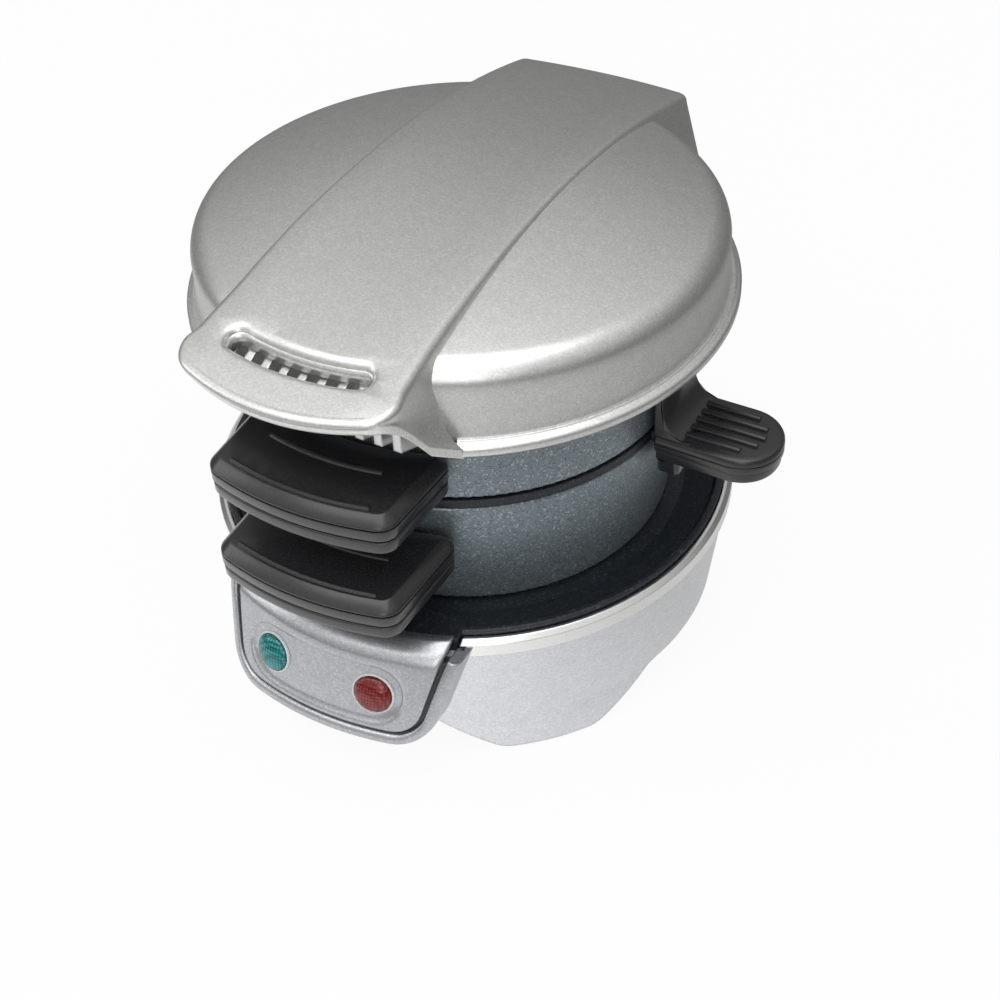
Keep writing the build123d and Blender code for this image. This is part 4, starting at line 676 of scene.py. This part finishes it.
copies_tree, copies_sockets = row_tree()
FIN_PITCH, FIN_THICKNESS = 4.8, 2.0
fin_outline = [(-61.0, 106.4), (-61.0, spine_z(-61.0) - 2.4), (-65.0, spine_z(-65.0) - 2.2), (-66.5, spine_z(-66.5) - 6.0), (-70.2, spine_z(-70.2) - 6.4),
               (-70.2, 109.2), (-64.2, 106.4)]
grown_piece("lid_fins", plate_mesh("fin", fin_outline, FIN_THICKNESS / 2), copies_tree, copies_sockets,
            {"Count": 11, "Step": (FIN_PITCH * MM, 0.0, 0.0), "Finish": lid_paint}, "cover", lid_paint)
apron_outline = [(-60.4, 104.9), (-60.4, spine_z(-60.4) - 1.6), (-62.0, spine_z(-62.0) - 1.6), (-62.0, 104.9)]
apron = bpy.data.objects.new("lid_apron", plate_mesh("lid_apron", apron_outline, 25.2))
apron.data.materials.append(lid_paint)
scene.collection.objects.link(apron)
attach(apron, "cover")


# ---------------------------------------------------------------- lid liner
# A black phenolic ring round the upper heating plate that closes the lid from below and keeps
# the painted lid away from the heat. It is moulded in one and held by the liner's screws.


def plain_finish(name, colour, roughness, spread=0.12, grain=0.5, metallic=0.0, radius=0.6, relief=0.02, **sockets):
    """A one-colour material with a fine cloud in its tone, a light grain and rounded edges."""
    material, tree, shader, place = start_material(name, metallic, roughness, **sockets)
    noise = add_node(tree, "ShaderNodeTexNoise", {"Scale": 1 / (grain * MM), "Detail": 3.0}, Vector=place)
    tone = add_node(tree, "ShaderNodeMapRange", {"From Min": 0.3, "From Max": 0.7, "To Min": 1 - spread, "To Max": 1 + spread},
                    Value=noise.outputs["Fac"])
    plain = add_node(tree, "ShaderNodeRGB")
    plain.outputs[0].default_value = srgb(colour)
    tinted = add_node(tree, "ShaderNodeVectorMath", {"operation": "SCALE"}, in_0=plain.outputs[0], Scale=tone.outputs[0])
    tree.links.new(tinted.outputs[0], shader.inputs["Base Color"])
    edge = add_node(tree, "ShaderNodeBevel", {"samples": 6, "Radius": radius * MM})
    bump = add_node(tree, "ShaderNodeBump", {"Strength": relief, "Distance": 0.0002}, Height=noise.outputs["Fac"],
                    Normal=edge.outputs[0])
    tree.links.new(bump.outputs[0], shader.inputs["Normal"])
    return material


phenolic = plain_finish("black_phenolic", "28282A", 0.25, spread=0.14, grain=0.6, relief=0.05, radius=0.4, Coat_Weight=0.3, Coat_Roughness=0.25)
liner_profile = [(50.4, 110.0), (57.6, 101.0), (64.6, 104.0), (65.4, 104.7), (65.4, 106.0), (64.0, 105.2), (58.0, 102.8),
                 (52.0, 110.4), (50.4, 110.0)]
skin_piece("lid_liner", "cover", phenolic,
           [(turned_rows(liner_profile, 0.0, 360.0, 144), False)], ("cover_liner",))


# ---------------------------------------------------------------- front handles of the two rings
# Each is two black phenolic shells that grip the ring's steel tang and are screwed together
# from below. A broad chamfer runs round the top and a fine groove marks the joint.


def rounded_outline(corners, steps=7):
    """Outline through corners given as x, y, radius, with the corners rounded."""
    points = []
    count = len(corners)
    for i, (x, y, radius) in enumerate(corners):
        corner = Vector((x, y))
        before, after = Vector(corners[i - 1][:2]), Vector(corners[(i + 1) % count][:2])
        if radius <= 0.0:
            points.append(corner)
            continue
        first, second = (before - corner).normalized(), (after - corner).normalized()
        reach = radius / math.tan(first.angle(second) / 2)
        middle = corner + (first + second).normalized() * (radius / math.sin(first.angle(second) / 2))
        a, b = corner + first * reach - middle, corner + second * reach - middle
        turn = a.angle_signed(b)
        for k in range(steps + 1):
            angle = -turn * k / steps
            points.append(middle + Vector((a.x * math.cos(angle) - a.y * math.sin(angle), a.x * math.sin(angle) + a.y * math.cos(angle))))
    return points


def drawn_in(points, amount):
    """The outline, given counterclockwise, moved inwards by an amount."""
    moved = []
    for i, point in enumerate(points):
        along = (points[(i + 1) % len(points)] - points[i - 1]).normalized()
        moved.append(point + Vector((-along.y, along.x)) * amount)
    return moved


def shell_rows(outline, levels, middle):
    """Closed rows of a flat shell: levels are inset and height, and both ends close on a point."""
    rows = [[(middle[0], middle[1], levels[0][1])] * len(outline)]
    for inset, z in levels:
        rows.append([(p.x, p.y, z) for p in drawn_in(outline, inset)])
    rows.append([(middle[0], middle[1], levels[-1][1])] * len(outline))
    return rows


def front_handle_outline(front):
    """Outline of a front handle from above, counterclockwise, from the ring's side."""
    corners = [(19.0, -51.93, 0.0), (-19.0, -51.93, 0.0), (-25.9, -50.0, 3.4), (-24.6, -(front - 3.9), 5.0)]
    for k in range(1, 12):
        x = -24.6 + 49.2 * k / 12
        corners.append((x, -front + 3.9 * (x / 24.6) ** 2, 0.0))
    corners += [(24.6, -(front - 3.9), 5.0), (25.9, -50.0, 3.4)]
    outline = rounded_outline(corners[1:] + corners[:1])
    back = []
    for k in range(1, 10):
        x = 19.0 - 38.0 * k / 10
        back.append(Vector((x, -math.sqrt(55.3 ** 2 - x ** 2))))
    return outline + back


def front_handle(prefix, front, top, body):
    """The two shells of a front handle with the bead near its front edge."""
    outline = front_handle_outline(front)
    middle = (0.0, -66.0)
    top_levels = [(2.75, top), (2.55, top - 0.03), (2.3, top - 0.14), (0.34, top - 2.15), (0.08, top - 2.45), (0.0, top - 2.8),
                  (0.0, top - 2.95), (0.8, top - 3.0), (0.8, top - 3.5), (0.0, top - 3.55), (0.0, top - 6.0),
                  (0.12, top - 6.25), (0.4, top - 6.35), (1.6, top - 6.4)]
    beads = []
    for radius, half_angle in ((front - 3.9, 13.8), (front - 15.5, 13.2)):
        bead = []
        for k in range(15):
            angle = math.radians(half_angle * (k / 7 - 1))
            bead.append([(r * math.sin(angle), -r * math.cos(angle), z) for r, z in
                         ((radius - 0.6, top - 0.05), (radius - 0.4, top + 0.35), (radius, top + 0.5), (radius + 0.4, top + 0.35), (radius + 0.6, top - 0.05))])
        beads.append(([[bead[0][2][:2] + (top - 0.05,)] * 5] + bead + [[bead[-1][2][:2] + (top - 0.05,)] * 5], True))
    piece = skin_piece(prefix + "_grip_top", body, phenolic,
                       [(shell_rows(outline, top_levels, middle), True)] + beads, (prefix + "_handle_top",), recalc=True)
    applied(piece, 28)
    low_levels = [(1.4, top - 6.95), (0.5, top - 7.0), (0.2, top - 7.3), (0.2, top - 9.4), (0.5, top - 10.2), (1.1, top - 10.65), (2.0, top - 10.8)]
    piece = skin_piece(prefix + "_grip_bottom", body, phenolic,
                       [(shell_rows(outline, low_levels, middle), True)], (prefix + "_handle_bottom",))
    applied(piece, 28)


front_handle("lower", 83.2, 69.5, "lower_ring_assembly")
front_handle("upper", 81.2, 94.6, "upper_ring_assembly")


# ---------------------------------------------------------------- handle of the cooking plate
# Two black phenolic shells on the plate's steel tang with a riser against the ring, five ribs
# on top that all end on one rounded line, and a foot below that holds the screw.

side_outline = rounded_outline([(56.6, 10.4, 0.8), (56.6, -10.4, 0.8), (85.3, -10.4, 10.3), (85.3, 10.4, 10.3)], 14)
SIDE_TOP, SIDE_SEAM, SIDE_LOW = 79.8, 75.3, 71.8
side_levels = [(1.5, SIDE_TOP), (1.1, SIDE_TOP - 0.06), (0.4, SIDE_TOP - 0.4), (0.06, SIDE_TOP - 1.0), (0.0, SIDE_TOP - 1.6),
               (0.0, SIDE_TOP - 2.2), (0.4, SIDE_TOP - 2.3), (0.4, SIDE_TOP - 2.55), (0.0, SIDE_TOP - 2.65), (0.0, SIDE_SEAM + 0.4),
               (0.12, SIDE_SEAM + 0.1), (0.4, SIDE_SEAM), (1.2, SIDE_SEAM)]
riser = [(56.6, SIDE_TOP - 3.0), (56.6, 96.6), (56.9, 97.1), (57.6, 97.2), (58.2, 96.8)]
for k in range(9):
    angle = math.radians(4 + 86 * k / 8)
    riser.append((65.4 - 6.7 * math.cos(angle) + 0.0, 87.6 - 7.9 * math.sin(angle)))
riser.append((65.4, SIDE_TOP - 3.0))
riser_sides = []
for y, inset in ((-9.6, 0.55), (-9.45, 0.16), (-9.05, 0.0), (9.05, 0.0), (9.45, 0.16), (9.6, 0.55)):
    riser_sides.append([(56.6 + max(0.0, x - 56.6 - inset * (1 if x > 57.7 else 0.3)), y, z - (inset if z > 96 else 0.0)) for x, z in riser])
centre = (59.0, 82.0)
riser_rows = [[(centre[0], -9.6, centre[1])] * len(riser)] + riser_sides + [[(centre[0], 9.6, centre[1])] * len(riser)]
side_top = skin_piece("plate_grip_top", "cooking_plate_assembly", phenolic,
                      [(shell_rows(side_outline, side_levels, (72.0, 0.0)), True), (riser_rows, True)], ("plate_handle_top",))
applied(side_top, 28)
low_levels = [(1.2, SIDE_SEAM - 0.1), (0.5, SIDE_SEAM - 0.25), (0.5, SIDE_LOW + 1.2), (0.8, SIDE_LOW + 0.5), (1.3, SIDE_LOW + 0.12), (2.0, SIDE_LOW)]
foot_outline = rounded_outline([(56.6, 8.4, 1.5), (56.6, -8.4, 1.5), (62.6, -8.4, 1.5), (62.6, 8.4, 1.5)], 6)
foot_levels = [(0.0, SIDE_LOW + 1.0), (0.0, SIDE_LOW - 3.9), (0.2, SIDE_LOW - 4.35), (0.7, SIDE_LOW - 4.5)]
side_low = skin_piece("plate_grip_bottom", "cooking_plate_assembly", phenolic,
                      [(shell_rows(side_outline, low_levels, (72.0, 0.0)), True), (shell_rows(foot_outline, foot_levels, (59.6, 0.0)), True)],
                      ("plate_handle_bottom",))
applied(side_low, 28)


def rib_tree():
    """Ribs side by side, each as long as the rounded tip allows: a seed rib 1 mm long is stretched."""
    tree, sockets = new_tree("ribs_to_a_round_tip", [("Count", "Int", 5), ("Step", "Float", 0.0032), ("Start", "Vector", (0.0, 0.0, 0.0)),
                                                     ("Tip Centre", "Float", 0.0103), ("Tip Radius", "Float", 0.0072), ("Finish", "Material", None)])
    inputs = add_node(tree, "NodeGroupInput")
    less = add_node(tree, "ShaderNodeMath", {"operation": "SUBTRACT"}, in_0=inputs.outputs["Count"])
    less.inputs[1].default_value = 1.0
    half = add_node(tree, "ShaderNodeMath", {"operation": "MULTIPLY"}, in_0=less.outputs[0])
    half.inputs[1].default_value = -0.5
    step = add_node(tree, "ShaderNodeCombineXYZ", None, Y=inputs.outputs["Step"])
    first = add_node(tree, "ShaderNodeVectorMath", {"operation": "SCALE"}, in_0=step.outputs[0], Scale=half.outputs[0])
    line = add_node(tree, "GeometryNodeMeshLine", {"mode": "OFFSET"}, Count=inputs.outputs["Count"], Start_Location=first.outputs[0],
                    Offset=step.outputs[0])
    spot = add_node(tree, "GeometryNodeInputPosition")
    parts = add_node(tree, "ShaderNodeSeparateXYZ", None, Vector=spot.outputs[0])
    across = add_node(tree, "ShaderNodeMath", {"operation": "MULTIPLY"}, in_0=parts.outputs["Y"], in_1=parts.outputs["Y"])
    round_tip = add_node(tree, "ShaderNodeMath", {"operation": "MULTIPLY"}, in_0=inputs.outputs["Tip Radius"], in_1=inputs.outputs["Tip Radius"])
    left = add_node(tree, "ShaderNodeMath", {"operation": "SUBTRACT"}, in_0=round_tip.outputs[0], in_1=across.outputs[0])
    reach = add_node(tree, "ShaderNodeMath", {"operation": "SQRT"}, in_0=left.outputs[0])
    length = add_node(tree, "ShaderNodeMath", {"operation": "ADD"}, in_0=reach.outputs[0], in_1=inputs.outputs["Tip Centre"])
    stretch = add_node(tree, "ShaderNodeMath", {"operation": "MULTIPLY"}, in_0=length.outputs[0])
    stretch.inputs[1].default_value = 1000.0
    size = add_node(tree, "ShaderNodeCombineXYZ", {"Y": 1.0, "Z": 1.0}, X=stretch.outputs[0])
    copies = add_node(tree, "GeometryNodeInstanceOnPoints", None, Points=line.outputs[0], Instance=inputs.outputs["Geometry"], Scale=size.outputs[0])
    solid = add_node(tree, "GeometryNodeRealizeInstances", None, Geometry=copies.outputs[0])
    placed = add_node(tree, "GeometryNodeSetPosition", None, Geometry=solid.outputs[0], Offset=inputs.outputs["Start"])
    finish = add_node(tree, "GeometryNodeSetMaterial", None, Geometry=placed.outputs[0], Material=inputs.outputs["Finish"])
    output = add_node(tree, "NodeGroupOutput")
    tree.links.new(finish.outputs[0], output.inputs[0])
    return tree, sockets


def rib_seed():
    """A rib 1 mm long and 1.5 mm wide with a rounded back, its foot at height zero."""
    work = bmesh.new()
    section = [(-0.75, -0.3), (-0.75, 0.45), (-0.6, 0.75), (-0.3, 0.9), (0.3, 0.9), (0.6, 0.75), (0.75, 0.45), (0.75, -0.3)]
    ends = [[work.verts.new(Vector((x, y, z)) * MM) for y, z in section] for x in (0.0, 1.0)]
    work.faces.new(ends[0])
    work.faces.new(ends[1])
    for i in range(len(section)):
        j = (i + 1) % len(section)
        work.faces.new((ends[0][i], ends[0][j], ends[1][j], ends[1][i]))
    bmesh.ops.recalc_face_normals(work, faces=work.faces)
    mesh = bpy.data.meshes.new("rib")
    work.to_mesh(mesh)
    work.free()
    return mesh


ribs_tree, ribs_sockets = rib_tree()
grown_piece("plate_grip_ribs", rib_seed(), ribs_tree, ribs_sockets,
            {"Count": 5, "Step": 3.2 * MM, "Start": at(63.6, 0.0, SIDE_TOP), "Tip Centre": 10.3 * MM, "Tip Radius": 7.2 * MM,
             "Finish": phenolic}, "cooking_plate_assembly", phenolic)


# ---------------------------------------------------------------- control panel and its frame
# A curved panel in silver-painted ABS with a long shallow recess for the two lamps, behind a rounded silver frame. A
# dark gap runs between the two where the panel is clipped in; a black strip set down in it is painted shade.

PANEL_SLOPE = (81.0 - 75.2) / (42.5 - 23.5)
# the panel's paint is a shade darker than the housing's
panel_paint = flake_paint("silver_painted_panel", "B6B8BB", "ABADB0", "C6C8CB", 0.30)


def panel_point(x, z, depth):
    """A point on the panel's face, or at a depth above it: a cone that rolls over at the top."""
    radius = 81.0 - (z - 23.5) * PANEL_SLOPE
    if z > 42.5:
        share = min(1.0, (z - 42.5) / 4.1)
        radius = 75.2 - 5.3 * (1 - math.cos(share * math.pi / 2)) - (z - 42.5) * PANEL_SLOPE * (1 - share)
    radius += depth
    return (x, -math.sqrt(radius ** 2 - x ** 2), z)


def panel_outline(grow, top=46.4):
    """Outline of the panel as x, z, counterclockwise as seen from the front, grown by an amount."""
    half_top, half_low, low, corner = 29.7 + grow, 25.0 + grow, 23.5 - grow, 7.0 + grow
    return rounded_outline([(half_top, top, 0.0), (-half_top, top, 0.0), (-half_low, low, corner), (half_low, low, corner)], 10)


def ray_loop(outline, middle, count):
    """Points of an outline at even angles about a middle."""
    loop = []
    for k in range(count):
        angle = 2 * math.pi * k / count
        way = Vector((math.cos(angle), math.sin(angle)))
        best = None
        for i, a in enumerate(outline):
            b = outline[(i + 1) % len(outline)]
            side = b - a
            cross = way.x * side.y - way.y * side.x
            if abs(cross) < 1e-12:
                continue
            offset = a - middle
            reach = (offset.x * side.y - offset.y * side.x) / cross
            along = (offset.x * way.y - offset.y * way.x) / cross
            if reach > 0 and -1e-6 <= along <= 1 + 1e-6:
                best = reach if best is None else max(best, reach)
        loop.append(middle + way * best)
    return loop


PANEL_MIDDLE = Vector((-0.8, 32.4))
LAMP_X, LAMP_Z, LAMP_MIDDLE = 14.7, 32.4, -0.8


def stadium(half_height):
    """The recess seen from the front: a long slot with round ends about both lamps."""
    reach = LAMP_X + half_height
    left, right, round_end = LAMP_MIDDLE - reach, LAMP_MIDDLE + reach, half_height * 0.98
    return rounded_outline([(right, LAMP_Z + half_height, round_end), (left, LAMP_Z + half_height, round_end),
                            (left, LAMP_Z - half_height, round_end), (right, LAMP_Z - half_height, round_end)], 9)


edge_loop = ray_loop(panel_outline(0.0), PANEL_MIDDLE, 144)
recess_high = ray_loop(stadium(7.9), PANEL_MIDDLE, 144)
recess_low = ray_loop(stadium(7.1), PANEL_MIDDLE, 144)
panel_rows = [[panel_point(p.x, p.y, -2.0) for p in edge_loop], [panel_point(p.x, p.y, -0.25) for p in edge_loop]]
for k in range(1, 8):
    share = 0.02 if k == 1 else (k - 1) / 7
    panel_rows.append([panel_point(p.x + (q.x - p.x) * share, p.y + (q.y - p.y) * share, 0.0) for p, q in zip(edge_loop, recess_high)])
panel_rows.append([panel_point(p.x, p.y, -0.02) for p in recess_high])
panel_rows.append([panel_point((p.x + q.x) / 2, (p.y + q.y) / 2, -0.35) for p, q in zip(recess_high, recess_low)])
for k in range(8):
    share = k / 8
    panel_rows.append([panel_point(p.x + (PANEL_MIDDLE.x - p.x) * share, p.y + (PANEL_MIDDLE.y - p.y) * share, -0.8) for p in recess_low])
panel_rows.append([panel_point(PANEL_MIDDLE.x, PANEL_MIDDLE.y, -0.8)] * 144)
back_rows = [[panel_point(p.x, p.y, -2.0) for p in edge_loop]]
for k in range(1, 8):
    share = k / 8
    back_rows.append([panel_point(p.x + (PANEL_MIDDLE.x - p.x) * share, p.y + (PANEL_MIDDLE.y - p.y) * share, -2.0) for p in edge_loop])
back_rows.append([panel_point(PANEL_MIDDLE.x, PANEL_MIDDLE.y, -2.0)] * 144)
panel = skin_piece("lamp_panel", "base", panel_paint, [(panel_rows + [], True), (back_rows, True)], ("control_panel",))
applied(panel, 50)


def frame_rows(section, top):
    """A strip swept down one side, along the bottom and up the other side of the panel."""
    base_line = panel_outline(0.0, top)
    ordered = base_line[1:] + base_line[:1]
    dense = []
    for a, b in zip(ordered, ordered[1:]):
        pieces = max(1, int((b - a).length / 2.5))
        dense += [a.lerp(b, k / pieces) for k in range(pieces)]
    dense.append(ordered[-1])
    rows = []
    for i, point in enumerate(dense):
        before, after = dense[max(0, i - 1)], dense[min(len(dense) - 1, i + 1)]
        along = (after - before).normalized()
        outward = Vector((along.y, -along.x))
        rows.append([panel_point(point.x + outward.x * out, point.y + outward.y * out, depth) for out, depth in section])
    first = [rows[0][0]] * len(section)
    last = [rows[-1][0]] * len(section)
    return [first] + rows + [last]


frame_section = [(0.9, -4.0), (0.9, -0.2), (1.02, 0.1), (1.35, 0.32), (2.2, 0.45), (3.1, 0.25), (3.6, -0.3), (3.8, -1.1), (3.8, -6.0), (2.4, -6.0), (2.4, -4.0)]
frame_piece = skin_piece("lamp_panel_frame", "base", panel_paint, [(frame_rows(frame_section, 44.0), True)], ("panel_bezel",))
applied(frame_piece, 40)
# painted shade: a strip of black phenolic set down in the groove between panel and frame, drawn black where the gap is
# only in shade
gap_shade_section = [(-0.6, -1.6), (-0.6, -1.2), (1.2, -1.2), (1.2, -1.6)]
gap_shade_piece = skin_piece("lamp_panel_gap_shade", "base", phenolic, [(frame_rows(gap_shade_section, 42.5), True)])
applied(gap_shade_piece, 40)


# ---------------------------------------------------------------- lamp lenses
# Two domed lenses in clear coloured acrylic, green for preheated and red for power, cut with
# small facets inside, each pressed into a pale ring in the recess.


def lens_finish(name, dark, bright):
    """Coloured acrylic over cut facets, 0.85 mm each; the light they catch is painted into the colour: lighter at each
    facet's middle, darker at its edge.
    """
    material, tree, shader, place = start_material(name, 0.0, 0.12, Coat_Weight=0.15, Coat_Roughness=0.05)
    facets = add_node(tree, "ShaderNodeTexVoronoi", {"Scale": 1 / (0.85 * MM), "Randomness": 0.12}, Vector=place)
    # painted glints: each facet's colour runs from a painted highlight in its middle to painted shade at its edge
    ramp = add_node(tree, "ShaderNodeValToRGB", None, Fac=facets.outputs["Distance"])
    ramp.color_ramp.elements[0].position, ramp.color_ramp.elements[0].color = 0.12, srgb(bright)
    ramp.color_ramp.elements[1].position, ramp.color_ramp.elements[1].color = 0.62, srgb(dark)
    tree.links.new(ramp.outputs["Color"], shader.inputs["Base Color"])
    cut = add_node(tree, "ShaderNodeBump", {"Strength": 0.25, "Distance": 0.0003}, Height=facets.outputs["Distance"])
    tree.links.new(cut.outputs[0], shader.inputs["Normal"])
    return material


def lens_piece(name, x, profile, material, replaced):
    """A turned piece on the panel at a lamp; the profile is radius and height above the recess."""
    spot = Vector(panel_point(x, LAMP_Z, -0.8))
    out = Vector((spot.x, spot.y, 0.0)).normalized()
    normal = (out + Vector((0, 0, PANEL_SLOPE))).normalized()
    side = Vector((-out.y, out.x, 0.0))
    up = normal.cross(side)
    rows = []
    for k in range(49):
        angle = 2 * math.pi * k / 48
        way = side * math.cos(angle) + up * math.sin(angle)
        rows.append([spot + way * r + normal * h for r, h in profile])
    piece = skin_piece(name, "base", material, [(rows, False)], replaced)
    applied(piece, 40)


green_lens = lens_finish("green_acrylic", "034E50", "14ABA9")
red_lens = lens_finish("red_acrylic", "4C0B0B", "AE2620")
lens_ring = plain_finish("pale_lens_ring", "DDE0E2", 0.25, spread=0.05)
dome_profile = [(0.0, 2.1)] + [(4.9 * math.sin(math.radians(10 * k)), 0.3 + 1.8 * math.cos(math.radians(10 * k))) for k in range(1, 10)] + [(4.9, -0.4), (0.0, -0.4)]
ring_profile = [(5.0, -0.2), (5.0, 0.35), (5.15, 0.5), (5.4, 0.4), (5.55, 0.0), (5.55, -0.2), (5.0, -0.2)]
lens_piece("green_lamp_lens", LAMP_MIDDLE - LAMP_X, dome_profile, green_lens, ("preheat_lens",))
lens_piece("red_lamp_lens", LAMP_MIDDLE + LAMP_X, dome_profile, red_lens, ("power_lens",))
for side_name, x in (("green", LAMP_MIDDLE - LAMP_X), ("red", LAMP_MIDDLE + LAMP_X)):
    spot_name = side_name + "_lamp_ring"
    lens_piece(spot_name, x, ring_profile, lens_ring, ())


# ---------------------------------------------------------------- other pieces, carried over from the CAD
# The rings and the two cooking plates are drawn or cast aluminium with a sprayed non-stick
# coat; the rim is a metallised trim ring; the screws, pins and heaters are plated steel.


def non_stick(name, colour, dark, bright, roughness, metallic, speck):
    """Sprayed non-stick coat: a soft colour with specks of about half a millimetre."""
    material, tree, shader, place = start_material(name, metallic, roughness)
    specks = add_node(tree, "ShaderNodeTexVoronoi", {"Scale": 1 / (0.38 * MM)}, Vector=place)
    tone = add_node(tree, "ShaderNodeSeparateColor", None, Color=specks.outputs["Color"])
    ramp = add_node(tree, "ShaderNodeValToRGB", None, Fac=tone.outputs[0])
    ramp.color_ramp.elements[0].position, ramp.color_ramp.elements[0].color = 0.10, srgb(dark)
    ramp.color_ramp.elements[1].position, ramp.color_ramp.elements[1].color = 0.97, srgb(bright)
    for place_on in (0.30, 1 - speck):
        middle = ramp.color_ramp.elements.new(place_on)
        middle.color = srgb(colour)
    tree.links.new(ramp.outputs["Color"], shader.inputs["Base Color"])
    edge = add_node(tree, "ShaderNodeBevel", {"samples": 6, "Radius": 0.6 * MM})
    relief = add_node(tree, "ShaderNodeBump", {"Strength": 0.12, "Distance": 0.0002}, Height=tone.outputs[1], Normal=edge.outputs[0])
    tree.links.new(relief.outputs[0], shader.inputs["Normal"])
    return material


slots = {
    "silver_plastic": body_paint,
    "bright_rim": plain_finish("metallised_rim", "F2F2F1", 0.18, spread=0.03, metallic=1.0, radius=0.5),
    "black_plastic": phenolic,
    "rubber": plain_finish("black_rubber", "1C1C1D", 0.75),
    "steel": plain_finish("zinc_plated_steel", "A9AAA8", 0.35, spread=0.08, metallic=1.0, radius=0.3),
    "coated_plate": non_stick("non_stick_plate", "1C2127", "14181C", "39424A", 0.42, 0.1, 0.14),
    "coated_ring": non_stick("non_stick_ring", "808A90", "687277", "AEB7BC", 0.38, 0.6, 0.12),
    "green_lens": green_lens,
    "red_lens": red_lens,
    "lamp_glass": plain_finish("lamp_glass", "D5D5CC", 0.1, spread=0.03),
    "white_plastic": plain_finish("white_nylon", "DDDAD0", 0.5, spread=0.04),
}
for entry in frame["record"]["subparts"]:
    piece = nodes[entry["node"]]
    if not piece.data.materials or piece.data.materials[0].name.split(".")[0] not in ():
        piece.data.materials.clear()
        piece.data.materials.append(lid_paint if entry["node"].startswith("cover_") and entry["material_slot"] == "silver_plastic" else slots[entry["material_slot"]])
